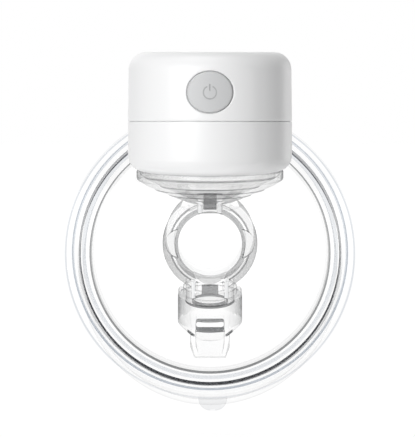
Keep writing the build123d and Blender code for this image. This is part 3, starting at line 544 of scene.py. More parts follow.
M["shell_flange"] = film("shell_flange", face=0.01, edge=0.15, tint=BLUE, power=3.0, gloss=0.05)
M["shell_blue"] = film("shell_blue", face=0.42, edge=0.65, tint=BLUE, power=3.0, gloss=0.05)
M["flare_film"] = film("flare_film", face=0.001, edge=0.10, tint=(0.6, 0.62, 0.65), power=5.0, gloss=0.0)


def repaint(o, rules):
    """rules: (material, test(centre in mm, normal)); the first that holds gives a polygon its material."""
    index = {}
    for mat, _ in rules:
        if mat.name not in index:
            o.data.materials.append(mat)
            index[mat.name] = len(o.data.materials) - 1
    for p in o.data.polygons:
        c, nn = p.center / MM, p.normal
        for mat, test in rules:
            if test(c, nn):
                p.material_index = index[mat.name]
                break


def paint(o, mat):
    o.data.materials.clear()
    o.data.materials.append(mat)
    return o


record_slot = {s["node"]: s["material_slot"] for s in frame["record"]["subparts"]}
for n, o in frame["nodes"].items():
    key = record_slot.get(n)
    mat = M.get(key) or M.get({"silicone": "silicone_clear"}.get(key, "natural_plastic"))
    if not o.data.materials:
        o.data.materials.append(mat)
    for s in o.material_slots:
        s.material = mat
    for p in o.data.polygons:
        p.use_smooth = True
    o.data.set_sharp_from_angle(angle=math.radians(30))


def place(o, body, slot_name, mat, *nodes):
    paint(o, mat)
    tidy(o)
    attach(o, body)
    if nodes:
        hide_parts(*nodes)
    return o


# ------------------------------------------------------------------ motor housing
def wall_r(z):
    return HR - (HR - HTR) * max(0.0, z - SEAM_HI) / 30.0


def top_profile(theta, inset, f, z0=SEAM_HI):
    """From the seam up the wall, over the rounded head and along the sloping top to the centre."""
    s = math.sin(theta) * TILT
    a = TOP_Z - inset * math.sqrt(1 + TILT * TILT)
    pts = []
    r_t = HTR - inset + 0.1
    k = math.sqrt(1 + s * s)
    zc = a + s * (r_t - f) - f * k
    r_t = wall_r(zc) - inset
    zc = a + s * (r_t - f) - f * k
    for i in range(15):
        z = z0 + (zc - z0) * i / 14
        pts.append((wall_r(z) - inset + (r_t - (wall_r(zc) - inset)) * i / 14, z))
    end = math.atan2(1, -s)
    for i in range(1, 19):
        t = end * i / 18
        pts.append((r_t - f + f * math.cos(t), zc + f * math.sin(t)))
    r1, z1 = pts[-1]
    for i in range(1, 9):
        r = r1 * (1 - i / 8)
        pts.append((max(r, 0.0), a + s * r))
    return pts


def upper_shell():
    n = 288
    loops = None
    for k in range(n):
        t = 2 * math.pi * k / n
        outer = top_profile(t, 0.0, HEAD_F)
        inner = top_profile(t, HW, HEAD_F - HW, SEAM_HI + 2.6)
        e = 0.14
        lip = [
            (LIP_OUT + 0.08, SEAM_HI + 2.6),
            (LIP_OUT + 0.08, SEAM_HI + e),
            (LIP_OUT + 0.08 + e * 0.3, SEAM_HI + e * 0.3),
            (LIP_OUT + 0.08 + e, SEAM_HI),
            (HR - e, SEAM_HI),
            (HR - e * 0.3, SEAM_HI + e * 0.3),
        ]
        outer[0] = (wall_r(SEAM_HI), SEAM_HI + e)
        chain = list(reversed(inner)) + lip + outer
        if loops is None:
            loops = [[] for _ in chain]
            count = len(chain)
        if len(chain) != count:
            raise RuntimeError("uneven chain")
        for i, (r, z) in enumerate(chain):
            loops[i].append((r * math.cos(t), MOTOR_Y + r * math.sin(t), z))
    m = len(loops)
    verts = [Vector(p) * MM for ring in loops for p in ring]
    faces = []
    for i in range(m - 1):
        for k in range(n):
            l = (k + 1) % n
            faces.append((i * n + k, i * n + l, (i + 1) * n + l, (i + 1) * n + k))
    return make("upper_shell", verts, faces)


def surf_y(x, r):
    return MOTOR_Y - math.sqrt(max(r * r - x * x, 0.0))


def curved_cutter(name, a, b, z, radius, profile, n=128):
    """Elliptical cutter whose section grows by e at depth d behind a cylinder's front surface."""
    secs = []
    for d, e in profile:
        ring = []
        for k in range(n):
            t = 2 * math.pi * k / n
            x = (a + e) * math.cos(t)
            ring.append((x, surf_y(x, radius) + d, z + (b + e) * math.sin(t)))
        secs.append(ring)
    return loft(name, secs)


upper = upper_shell()
arc = [(-0.0 + 0.45 * (1 - math.cos(a)), 0.45 * (1 - math.sin(a))) for a in [i * math.pi / 16 for i in range(9)]]
prof = [(-3.0, 0.45), (-0.02, 0.45)] + [(d, e) for d, e in arc[1:]] + [(3.2, 0.0)]
cut(upper, curved_cutter("c", BTN_A + BTN_GAP, BTN_B + BTN_GAP, BTN_Z, wall_r(BTN_Z), prof))
cut(upper, prism("c", rounded([(-4.85, -1.95, 1.9), (4.85, -1.95, 1.9), (4.85, 1.95, 1.9), (-4.85, 1.95, 1.9)]), 10, 20, "Y", z=62.0))
for sx, sy in SCREWS:
    boss = cyl("c", 2.6, 49.6, 62.0, (sx, sy), n=40)
    wall = lathe("c2", [(0, 45), (HR - 0.6, 45), (HR - 0.9, 62.5), (0, 62.5)], (0, MOTOR_Y, 0))
    boolean(boss, wall, "INTERSECT")
    cut(boss, cyl("c3", 0.85, 49, 58, (sx, sy), n=24))
    union(upper, boss)
place(upper, "motor_unit", "housing_white", M["housing_white"], "upper_housing")
upper.name = "upper_housing_shell"

e = 0.14
low_pts = (
    rounded(
        [
            (0.85, HB - 1.4, 0.1),
            (1.5, HB - 1.4, 0.3),
            (1.5, HB + 0.7),
            (4.2, HB + 0.7, 0.2),
            (4.2, HB, 0.3),
            (21.0, HB, 4.0),
            (HR, HB + 1.9, 5.4),
            (HR, SEAM_LO, e),
            (LIP_OUT, SEAM_LO),
            (LIP_OUT, SEAM_HI + 1.7, 0.2),
            (LIP_IN, SEAM_HI + 1.7, 0.2),
            (LIP_IN, HB + HW, FOOT_F - HW),
            (3.0, HB + HW, 0.3),
            (3.0, 30.1, 0.3),
            (1.5, 30.1),
            (1.5, 31.4, 0.3),
            (0.85, 31.4, 0.1),
        ],
        16,
    )
)
lower = lathe("lower_shell", low_pts, (0, MOTOR_Y, 0), n=256)
for sx, sy in SCREWS:
    boss = cyl("c", 2.6, HB + 1, 49.4, (sx, sy), n=40)
    wall = lathe("c2", rounded([(0, HB + 0.8), (HR - 0.8, HB + 0.8, FOOT_F - 0.8), (HR - 0.8, 44), (LIP_IN - 0.15, 44.5), (LIP_IN - 0.15, 50), (0, 50)], 12), (0, MOTOR_Y, 0))
    boolean(boss, wall, "INTERSECT")
    union(lower, boss)
    cut(lower, cyl("c3", 1.15, 20, 50, (sx, sy), n=24), cyl("c4", 2.1, 20, 32.4, (sx, sy), n=32))
place(lower, "motor_unit", "housing_white", M["housing_white"], "lower_housing")
lower.name = "lower_housing_shell"

# button: a face that follows the housing's curve, with a sunk open ring and bar
fr = 0.45
prof = [(0.0, -BTN_A * 0.999), (0.0, -BTN_A * 0.75), (0.0, -BTN_A * 0.5), (0.0, -BTN_A * 0.25), (0.0, -fr)]
secs = []
n = 128
def btn_ring(d, sc_a, sc_b, flat=None):
    ring = []
    for k in range(n):
        t = 2 * math.pi * k / n
        x, zz = sc_a * math.cos(t), sc_b * math.sin(t)
        y = surf_y(x, BTN_R) + d if flat is None else flat
        ring.append((x, y, BTN_Z + zz))
    return ring
secs.append(btn_ring(0.0, 0.02, 0.02))
for s in (0.2, 0.4, 0.6, 0.8):
    secs.append(btn_ring(0.0, (BTN_A - fr) * s, (BTN_B - fr) * s))
for i in range(0, 9):
    a = math.pi / 2 * i / 8
    secs.append(btn_ring(fr * (1 - math.cos(a)), BTN_A - fr + fr * math.sin(a), BTN_B - fr + fr * math.sin(a)))
secs.append(btn_ring(0.62, BTN_A, BTN_B))
secs.append(btn_ring(0.70, BTN_A + 0.2, BTN_B + 0.2))
secs.append(btn_ring(1.4, BTN_A + 0.2, BTN_B + 0.2))
secs.append(btn_ring(1.5, BTN_A, BTN_B))
secs.append(btn_ring(0, BTN_A, BTN_B, flat=-41.0))
secs.append(btn_ring(0, BTN_A + 0.75, BTN_B + 0.75, flat=-41.0))
secs.append(btn_ring(0, BTN_A + 0.95, BTN_B + 0.95, flat=-40.8))
secs.append(btn_ring(0, BTN_A + 0.95, BTN_B + 0.95, flat=-40.1))
secs.append(btn_ring(0, 1.7, 1.7, flat=-40.1))
secs.append(btn_ring(0, 1.7, 1.7, flat=-38.05))
button = loft("button_cap", secs)
sym = []
def arc_band(r0, r1, a0, a1, k=48):
    o = [(r1 * math.cos(a0 + (a1 - a0) * i / k), r1 * math.sin(a0 + (a1 - a0) * i / k)) for i in range(k + 1)]
    o += [(r0 * math.cos(a1 - (a1 - a0) * i / k), r0 * math.sin(a1 - (a1 - a0) * i / k)) for i in range(k + 1)]
    return o
gap = math.radians(24)
band = prism("c", arc_band(1.85, 2.25, math.pi / 2 + gap, math.pi / 2 + 2 * math.pi - gap), -46, BTN_R * 0 + MOTOR_Y - BTN_R + 0.22, "Y", z=BTN_Z - 0.15)
bar = prism("c", rr(0.2, 1.1, 0.19), -46, MOTOR_Y - BTN_R + 0.22, "Y", z=BTN_Z + 1.4)
cut(button, band, bar)
place(button, "power_button", "button_grey", M["button_grey"], "power_button")
# painted shade: the floor of the sunk ring and bar gets the darker grey
repaint(button, [(M["button_recess_shade"], lambda c, v: abs(c.y - (MOTOR_Y - BTN_R + 0.22)) < 0.03 and v.y < -0.9 and math.hypot(c.x, c.z - BTN_Z) < 3.0)])

# -------------------------------------------------------------------------- linker
RING_R, RING_Y0, RING_Y1 = 17.95, -9.0, 13.0
SOCK, CH = 14.06, 12.4
dish = lathe(
    "linker_dish",
    rounded(
        [
            (0, 16.9),
            (8.2, 16.9, 1.0),
            (12.0, 18.3, 3),
            (15.25, 19.65, 0.1),
            (15.4, 19.95, 0.1),
            (20.0, 21.65, 0.1),
            (20.15, 21.95, 0.1),
            (23.6, 23.5, 2),
            (26.6, 25.4, 1.5),
            (26.6, 28.7, 0.5),
            (25.5, 28.45, 0.4),
            (25.3, 26.9, 0.3),
            (24.2, 26.5, 0.1),
            (24.0, 26.0, 0.1),
            (21.8, 24.9, 1),
            (18.4, 23.2, 0.1),
            (18.2, 22.7, 0.1),
            (16.0, 22.0, 1),
            (11.6, 20.0, 1),
            (8.0, 18.5, 1.0),
            (0, 18.5),
        ],
        6,
    ),
    (0, MOTOR_Y, 0),
    n=192,
)
ring = lathe(
    "ring",
    rounded(
        [
            (0, RING_Y0 + 0.7),
            (11.4, RING_Y0 + 0.4, 0.3),
            (12.1, RING_Y0, 0.2),
            (14.0, RING_Y0, 0.1),
            (14.25, RING_Y0 + 0.35, 0.1),
            (14.75, RING_Y0 + 0.35, 0.1),
            (14.95, RING_Y0 + 0.1, 0.1),
            (15.3, RING_Y0 + 0.3, 0.1),
            (15.5, RING_Y0 + 0.9, 0.1),
            (16.9, RING_Y0 + 1.2, 0.2),
            (RING_R, RING_Y0 + 1.8, 1.2),
            (RING_R, RING_Y1, 0.8),
            (0, RING_Y1),
        ],
        8,
    ),
    (0, 0, 0),
    "Y",
    n=192,
)
spig = lathe("spig", rounded([(0, -24.2), (9.0, -24.2, 0.3), (9.6, -23.7, 0.3), (9.6, -22.9, 0.01), (9.45, -22.8, 0.01), (9.45, -13.4), (0, -13.4)], 6), (0, 0, 0), "Z", n=128)
collar = lathe("collar", rounded([(8.6, -18.6), (10.5, -18.6, 0.4), (10.5, -17.4, 0.4), (8.6, -17.4)], 6), (0, 0, 0), "Z", n=128)
neck = prism("neck", rr(4.7, 4.6, 1.2), 11.6, 19.0, "Z", y=-7.6)
shoulder = prism("shoulder", rr(7.4, 2.6, 1.2), 11.6, 17.4, "Z", y=-5.2)
rib1 = prism("rib", rr(0.8, 1.0, 0.45), 12.4, 18.6, "Z", x=-3.6, y=-12.2)
rib2 = prism("rib", rr(0.8, 1.0, 0.45), 12.4, 18.6, "Z", x=3.6, y=-12.2)
bar = prism("bar", rr(1.6, 0.55, 0.4), -4.2, 4.2, "X", y=-10.6, z=12.2)
post1 = prism("post", rr(0.75, 0.9, 0.4), -20.2, -14.2, "Z", x=-6.2, y=-7.9)
post2 = prism("post", rr(0.75, 0.9, 0.4), -20.2, -14.2, "Z", x=6.2, y=-7.9)
union(dish, ring, spig, collar, neck, shoulder, rib1, rib2, bar, post1, post2)
for s in (-1, 1):
    g = [(s * a, b) for a, b in rounded([(6.1, 13.0), (8.0, 15.0, 1.0), (12.6, 18.9), (6.1, 17.6)], 6)]
    union(dish, prism("g", g, -8.2, -6.4, "Y"))
    lug = prism("lug", rr(0.95, 3.0, 0.5), 25.4, 27.4, "Z", x=s * 24.6, y=MOTOR_Y)
    union(dish, lug)
sock = lathe("sock", rounded([(0, RING_Y0 + 2.2), (CH, RING_Y0 + 2.2, 0.8), (CH, -2.3, 0.3), (SOCK, -2.3, 0.2), (SOCK, RING_Y1 - 0.4, 0.01), (SOCK + 0.5, RING_Y1 + 0.6), (0, RING_Y1 + 0.6)], 8), (0, 0, 0), "Y", n=192)
milk = lathe("milk", rounded([(0, -9.9), (6.4, -9.9), (6.4, -23.0, 0.3), (7.0, -23.5, 0.2), (7.2, -26.0), (0, -26.0)], 8), (0, 0, 0), "Z", n=128)
window = prism("window", rr(3.1, 1.85, 0.25), -12.0, -8.0, "Y", z=-17.15)
saddle = cyl("saddle", 6.3, -12.0, -7.6, (0, -9.0), "Y", n=128)
cut(saddle, cyl("sm", 12.05, -14.0, -6.0, (0, 0), "Y", n=192))
air = cube("air", -2.45, 2.45, -10.9, -6.0, 13.3, 18.9, 0.25)
mouth = cyl("mouth", 12.4, -16.0, -9.03, (0, 0), "Y", n=192)
cut(dish, sock, milk, air, window, mouth, saddle)
for s in (-1, 1):
    lens = cyl("lens", 5.4, RING_Y0 - 1, RING_Y0 + 2.9, (s * 11.4, 0), "Y", n=96)
    cut(lens, cyl("lens2", 13.3, RING_Y0 - 2, RING_Y0 + 3.9, (0, 0), "Y", n=192))
    cut(dish, lens)
place(dish, "collector_assembly", "clear_linker", M["clear_linker"], "linker")
dish.name = "linker_clear"
hyp = math.hypot
bowl_r = lambda c: hyp(c.x, c.y - MOTOR_Y)
# painted shade and highlights: darker films on the neck channel, milk window, saddle floor, spigot foot, dish steps
# and ring bands, opaque white highlight on the ribs and posts, nearly clear films elsewhere
repaint(
    dish,
    [
        # neck between dish and ring
        (M["neck_channel_shade"], lambda c, v: abs(c.x) < 2.5 and -11.0 < c.y < -5.9 and 13.0 < c.z < 19.0),
        (M["highlight"], lambda c, v: 2.6 < abs(c.x) < 4.5 and c.y < -11.6 and 12.3 < c.z < 18.7 and v.y < -0.3),
        (M["neck_side"], lambda c, v: abs(c.x) < 7.6 and c.y < -2.5 and 11.6 < c.z < 19.2 and abs(v.z) < 0.6 and hyp(c.x, c.z) > 14.0),
        # dish
        (M["dish_shade_line"], lambda c, v: c.z > 19.0 and abs(v.z) < 0.75 and 14.9 < bowl_r(c) < 25.2 and c.y < MOTOR_Y - 5.0),
        (M["dish_rim"], lambda c, v: c.z > 24.6 and bowl_r(c) > 24.6),
        (M["dish_base"], lambda c, v: c.z > 16.0 and bowl_r(c) < 15.35 and abs(c.x) < 10.5 and c.y < -8.0),
        (M["dish_face"], lambda c, v: c.z > 16.0 and hyp(c.x, c.z) > 18.3),
        (M["ring_inner"], lambda c, v: hyp(c.x, c.z) > 16.8 and c.z > 14.2),
        # posts, milk window and foot of the spigot
        (M["saddle_face"], lambda c, v: hyp(c.x, c.z + 9.0) < 6.35 and -7.75 < c.y < -7.5 and abs(v.y) > 0.8),
        (M["linker_window"], lambda c, v: hyp(c.x, c.z + 9.0) < 6.4 and c.z < -11.5 and -9.6 < c.y < -7.5),
        (M["linker_window"], lambda c, v: abs(c.x) < 4.4 and -17.5 < c.z < -13.2 and -9.7 < c.y < -8.4 and abs(v.z) < 0.5),
        (M["window_shade"], lambda c, v: abs(c.x) < 3.05 and -19.1 < c.z < -14.9 and -8.75 < c.y < -6.6),
        (M["highlight"], lambda c, v: 5.4 < abs(c.x) < 7.0 and -20.3 < c.z < -13.0 and c.y < -8.3 and v.y < -0.3),
        (M["linker_edge_shade"], lambda c, v: hyp(c.x, c.y) > 9.2 and -24.15 < c.z < -22.85 and c.y < -1.5),
        (M["dish_shade_line"], lambda c, v: 6.3 < hyp(c.x, c.y) < 7.35 and -24.3 < c.z < -22.85),
        (M["spigot_face"], lambda c, v: c.z < -15.0 and c.y < 0 and abs(v.z) < 0.5 and hyp(c.x, c.y) > 8.0),
        (M["ring_inner"], lambda c, v: c.z < -18.4 or hyp(c.x, c.y) < 7.6 and c.z < -12.6),
        # lens shaped pads
        (M["ring_light"], lambda c, v: abs(c.z) < 5.6 and hyp(c.x, c.z) > 13.2 and -6.4 < c.y < -5.8 and v.y < -0.5),
        (M["ring_mid"], lambda c, v: abs(c.z) < 5.6 and abs(c.x) > 12.0 and -8.6 < c.y < -6.1 and abs(v.y) < 0.5 and hyp(c.x, c.z) < 17.6),
        # ring bands
        (M["linker_window"], lambda c, v: hyp(c.x, c.z) < 11.8 and -8.9 < c.y < -6.4),
        (M["ring_inner"], lambda c, v: hyp(c.x, c.z) < 14.2 and c.y > -8.6),
        (M["ring_mid"], lambda c, v: v.y < -0.3 and 11.9 < hyp(c.x, c.z) < 14.05 and c.y < -8.7),
        (M["linker_window"], lambda c, v: v.y < -0.3 and 14.05 < hyp(c.x, c.z) < 14.8 and c.y < -8.5),
        (M["dish_shade_line"], lambda c, v: 14.8 < hyp(c.x, c.z) < 15.5 and c.y < -8.0),
        (M["ring_light"], lambda c, v: v.y < -0.85 and 15.4 < hyp(c.x, c.z) < 17.2 and c.y < -5.5),
        (M["ring_edge"], lambda c, v: 17.0 < hyp(c.x, c.z) < 18.5 and c.y < -5.5),
        (M["ring_inner"], lambda c, v: v.y > 0.6 and c.y > 12.0),
    ],
)
# ------------------------------------------------------------------ duckbill valve
VR, VT, VTIP, LW = 12.5, -20.6, -45.8, 7.5
base = lathe(
    "valve",
    rounded(
        [
            (0, -37.0),
            (7.2, -37.0, 1.2),
            (VR, -31.6, 1.6),
            (VR, VT, 0.8),
            (9.66, VT, 0.5),
            (9.66, -25.15, 0.3),
            (8.0, -25.15),
            (8.0, -32.6, 1.0),
            (0, -32.6),
        ],
        8,
    ),
    n=160,
)
ears = lathe("ears", rounded([(10.55, -21.6), (12.3, -21.6), (12.3, -18.9, 0.5), (10.55, -18.9, 0.3)], 6), n=128)
e1 = cube("e1", 9, 14, -2.6, 2.6, -23, -17)
e2 = cube("e2", -14, -9, -2.6, 2.6, -23, -17)
union(e1, e2)
boolean(ears, e1, "INTERSECT")
union(base, ears)
front = rounded([(-LW, -30), (-LW, -40.6, 3.0), (-6.0, VTIP, 0.8), (6.0, VTIP, 0.8), (LW, -40.6, 3.0), (LW, -30)], 8)
side = rounded([(-7.6, -30), (-7.6, -33.4, 1.0), (-0.95, VTIP - 0.01, 0.4), (0.95, VTIP - 0.01, 0.4), (7.6, -33.4, 1.0), (7.6, -30)], 8)
beak = prism("beak", front, -12, 12, "Y")
boolean(beak, prism("s", side, -12, 12, "X"), "INTERSECT")
bev(beak, 0.5, 3, 40)
union(base, beak)
cfront = rounded([(-5.5, -31), (-5.5, -40.4, 2.0), (-4.6, -44.8, 0.4), (4.6, -44.8, 0.4), (5.5, -40.4, 2.0), (5.5, -31)], 8)
cside = rounded([(-6.0, -31), (-6.0, -33.8, 0.8), (-0.14, -44.6), (0.14, -44.6), (6.0, -33.8, 0.8), (6.0, -31)], 8)
cav = prism("cav", cfront, -12, 12, "Y")
boolean(cav, prism("s", cside, -12, 12, "X"), "INTERSECT")
slit = cube("slit", -4.9, 4.9, -0.1, 0.1, VTIP - 1, -44)
cut(base, cav, slit)
slot_f, slot_b = rr(5.3, 2.05, 1.25), rr(5.3, 1.585, 1.0)
cut(base, loft("sl", [[(a, -14.0, b - 30.29) for a, b in slot_f], [(a, -8.7, b - 29.485) for a, b in slot_b]]))
# small nibs at the chamfer's front corners, carrying painted shade as dark strokes
for s in (-1, 1):
    shade_nib = rounded([(s * 8.3, -31.6), (s * 5.8, -33.5), (s * 5.8, -34.3), (s * 6.8, -34.0), (s * 8.5, -32.5)], 4)
    union(base, prism("shade_nib", shade_nib, -9.75, -7.6, "Y"))
place(base, "duckbill_valve", "silicone", M["silicone_clear"], "duckbill_valve")
base.name = "duckbill_valve_soft"
# painted shade on the valve: dark slot floor and roof, dark nibs, greyer side wall; hidden inner walls nearly clear
repaint(
    base,
    [
        # grip slot: painted shade on floor and roof, back wall clear
        (M["silicone_shade"], lambda c, v: abs(c.x) < 5.5 and 8.4 < -c.y < 12.6 and -32.4 < c.z < -27.6 and abs(v.z) > 0.35),
        (M["silicone_hidden"], lambda c, v: abs(c.x) < 5.5 and 8.4 < -c.y < 9.2 and -32.2 < c.z < -27.6),
        # painted shade on the nibs' front faces
        (M["silicone_shade"], lambda c, v: 5.6 < abs(c.x) < 8.7 and -9.9 < c.y < -9.6 and -34.5 < c.z < -31.4 and abs(v.y) > 0.9),
        (M["silicone_side"], lambda c, v: hyp(c.x, c.y) > 12.0 and -31 < c.z < -20.9 and abs(v.z) < 0.5),
        (M["silicone_hidden"], lambda c, v: c.z > -33.0 and hyp(c.x, c.y) < 9.7),
        (M["silicone_face"], lambda c, v: c.z < -30.5 and hyp(c.x, c.y) > 6.8 and abs(v.z) > 0.3),
        (M["silicone_lip"], lambda c, v: c.z < -35.0 and abs(v.y) < 0.5 and hyp(c.x, c.y) < 9.0),
        (M["silicone_face"], lambda c, v: c.z < -36.5),
    ],
)
# ------------------------------------------------------------------ milk collector
def spline(pts, m=48):
    """Catmull-Rom through (r, y) points, first to last."""
    p = [np.array(q, float) for q in pts]
    p = [2 * p[0] - p[1]] + p + [p[-1] * np.array([-1.0, 1.0]) if p[-1][0] == 0 else 2 * p[-1] - p[-2]]
    if pts[-1][0] == 0:
        p[-1] = np.array([-pts[-2][0], pts[-2][1]], float)
    out = []
    for i in range(1, len(p) - 2):
        for k in range(m // (len(pts) - 1)):
            t = k / (m // (len(pts) - 1))
            a, b, c, d = p[i - 1], p[i], p[i + 1], p[i + 2]
            out.append(tuple(0.5 * (2 * b + (c - a) * t + (2 * a - 5 * b + 4 * c - d) * t * t + (3 * b - a - 3 * c + d) * t ** 3)))
    out.append(tuple(p[-2]))
    return out


BOWL_R = 56.3
bowl_pts = [(BOWL_R, RIM_Y), (52.3, 5.0), (48.4, -10.0), (41.6, -23.6), (30.5, -33.8), (15.5, -39.9), (0, -41.6)]
bowl_in = [(BOWL_R - 1.62, RIM_Y + 0.6), (50.7, 5.2), (46.9, -9.2), (40.4, -22.5), (29.6, -32.3), (15.1, -38.3), (0, -40.0)]
bo = [(max(r, 0), y) for r, y in spline(bowl_pts)]
bi = [(max(r, 0), y) for r, y in spline(bowl_in)]
bowl = lathe("bowl", bo + [(0, RIM_Y)], (0, 0, RIM_Z), "Y", n=192)
pocket_pts = rounded([(0, 15.9), (8.8, 15.9, 1.0), (16.7, 19.7, 1), (23.0, 22.8, 4), (27.3, 25.2, 2), (31.0, 28.6, 2), (31.0, 90), (0, 90)], 8)
pocket_out = rounded([(0, 14.3), (9.3, 14.3, 1.5), (17.3, 18.2, 1), (23.6, 21.3, 4), (28.0, 23.8, 3), (32.6, 27.9, 2.5), (32.6, 92), (0, 92)], 8)
void = lathe("void", bi + [(0, RIM_Y + 3)], (0, 0, RIM_Z), "Y", n=192)
cut(void, lathe("po", pocket_out, (0, MOTOR_Y, 0), n=160))
cut(bowl, lathe("pi", pocket_pts, (0, MOTOR_Y, 0), n=160), void)
flange = lathe("fl", rounded([(BOWL_R - 1.6, RIM_Y - 0.9), (55.9, RIM_Y - 0.9), (56.85, RIM_Y - 0.9, 0.2), (57.1, RIM_Y - 0.4, 0.2), (58.2, RIM_Y, 0.2), (58.95, RIM_Y, 0.05), (59.05, RIM_Y - 0.15, 0.05), (FLANGE_R, RIM_Y - 0.15, 0.3), (FLANGE_R, RIM_Y + 2, 0.5), (BOWL_R - 1.6, RIM_Y + 2)], 6), (0, 0, RIM_Z), "Y", n=256)
union(bowl, flange)
cut(bowl, prism("op", rr(19.4, 13.5, 6.0), 4, 40, "Z", y=1.0))
place(bowl, "collector_assembly", "clear_shell", M["clear_shell"], "milk_collector")
bowl.name = "milk_collector_clear"
# painted shade on the collector: darker films on the rim line, the wall behind the flange and the flange's outer
# edge, growing towards the bottom where a film's low gain says so
repaint(
    bowl,
    [
        (M["shell_blue"], lambda c, v: hyp(c.x, c.z - RIM_Z) > 59.0 and c.y < RIM_Y + 1.9),
        (M["shell_shade_line"], lambda c, v: 55.85 < hyp(c.x, c.z - RIM_Z) < 57.2 and 25.9 < c.y < 27.3 and v.y < -0.3),
        (M["shell_wall"], lambda c, v: 22.0 < c.y < 26.7 and 54.9 < hyp(c.x, c.z - RIM_Z) and (v.x * c.x + v.z * (c.z - RIM_Z)) > 0),
        (M["shell_fade"], lambda c, v: 57.0 < hyp(c.x, c.z - RIM_Z) < 58.0 and c.y < 27.6),
        (M["shell_flange"], lambda c, v: hyp(c.x, c.z - RIM_Z) > 57.0),
        (M["shell_soft"], lambda c, v: c.y > 23.0 and hyp(c.x, c.z - RIM_Z) > 54.4),
    ],
)
# ------------------------------------------------------------------- breast shield
Y1 = RIM_Y + 3.9
def circle_y(r, y, z, n=256):
    return [(r * math.cos(2 * math.pi * k / n), y, z + r * math.sin(2 * math.pi * k / n)) for k in range(n)]


def shift(r):
    """The circles' centres slide from the tunnel's axis down to the rim's centre."""
    t = min(1.0, max(0.0, (r - 13.0) / (50.0 - 13.0)))
    return RIM_Z * (t * t * (3 - 2 * t))


back_curve = [(12.0, 17.6), (12.4, 18.6), (13.6, 19.7), (16.5, 20.8), (22.5, 22.4), (30.0, 24.4), (38.6, 27.0), (45.0, 29.2), (49.0, 30.6), (52.0, 31.3), (55.0, Y1)]
front_curve = [(14.0, 16.6), (14.3, 17.2), (15.4, 18.2), (18.0, 19.3), (24.0, 20.9), (31.0, 22.9), (39.6, 25.4), (45.6, 27.3), (49.4, 28.6), (50.6, 29.2)]
rim_prof = rounded(
    [
        (51.1, RIM_Y + 2.1, 0.2),
        (51.8, RIM_Y + 2.1, 0.2),
        (51.97, RIM_Y + 0.3, 0.01),
        (52.2, RIM_Y - 1.8, 0.3),
        (54.3, RIM_Y - 1.8, 0.3),
        (54.5, RIM_Y + 2.1, 0.2),
        (56.2, RIM_Y + 2.1, 0.01),
        (56.3, RIM_Y + 2.14, 0.01),
        (FLANGE_R + 0.12, RIM_Y + 2.1, 0.3),
        (FLANGE_R + 0.12, RIM_Y - 2.6, 0.3),
        (61.9, RIM_Y - 2.6, 0.05),
        (62.0, RIM_Y - 2.75, 0.05),
        (62.6, RIM_Y - 2.6, 0.05),
        (SHIELD_R, RIM_Y - 1.9, 0.7),
        (SHIELD_R, Y1, 1.4),
    ],
    8,
)
rim_pts = [p for p in rim_prof]
loops = []
# tunnel bore, back flare, rim, front flare, tunnel outside
for r, y in [(12.0, -1.7), (12.0, 4.0), (12.0, 12.0)] + spline(back_curve, 60):
    loops.append(circle_y(r, y, shift(r) if r > 13 else 0.0))
for r, y in reversed(rim_pts):
    loops.append(circle_y(r, y, RIM_Z))
for r, y in reversed(spline(front_curve, 60)):
    loops.append(circle_y(r, y, shift(r) if r > 14.2 else 0.0))
for r, y in [(14.0, 12.0), (14.0, 4.0), (14.0, -1.4), (13.8, -1.85), (13.4, -2.0), (12.3, -2.0)]:
    loops.append(circle_y(r, y, 0.0))
shield = grid_solid("shield", loops)
TAB_Z = RIM_Z - SHIELD_R - 5.6
arc = [(5.2 * math.cos(math.radians(t)), 5.2 * math.sin(math.radians(t))) for t in range(0, 91, 9)]
tabf = [(-6.3, TAB_Z + 6.6)] + [(-1.1 - a, TAB_Z + 5.2 - b) for a, b in arc]
tabf += [(1.1 + a, TAB_Z + 5.2 - b) for a, b in reversed(arc)] + [(6.3, TAB_Z + 6.6)]
tab = prism("tab", [(a + 1.2, b) for a, b in tabf], RIM_Y - 0.4, RIM_Y + 1.4, "Y")
bev(tab, 0.35, 3, 50)
union(shield, tab)
place(shield, "breast_shield", "silicone", M["shield_rim"], "breast_shield")
shield.name = "breast_shield_soft"
def rim_rad(c):
    return hyp(c.x, c.z - RIM_Z)


# painted shade on the shield: darker films on the tunnel, the rim's inner line and its bands, darker towards the
# bottom; the outer side gets lighter towards the bottom
repaint(
    shield,
    [
        (M["shield_tab"], lambda c, v: rim_rad(c) > SHIELD_R + 0.1),
        (M["tunnel_end"], lambda c, v: c.y < -1.0 and hyp(c.x, c.z) < 14.2),
        (M["tunnel_wall"], lambda c, v: c.y < 18.0 and hyp(c.x, c.z) < 14.2),
        (M["flare_film"], lambda c, v: rim_rad(c) < 51.0),
        (M["shield_shade_line"], lambda c, v: 51.7 < rim_rad(c) < 52.3 and c.y < 27.9 and abs(v.y) < 0.8),
        (M["shield_mid"], lambda c, v: 51.7 < rim_rad(c) < 52.25 and c.y < 29.8 and abs(v.y) < 0.8),
        (M["shield_soft"], lambda c, v: 51.0 < rim_rad(c) < 51.9 and c.y < 30.0),
        (M["shield_band"], lambda c, v: 54.4 < rim_rad(c) < 56.25 and c.y < 29.8 and abs(v.y) > 0.7),
        (M["shield_edge"], lambda c, v: 61.85 < rim_rad(c) < 62.65 and c.y < RIM_Y),
        (M["shield_side"], lambda c, v: rim_rad(c) > 62.6),
    ],
)

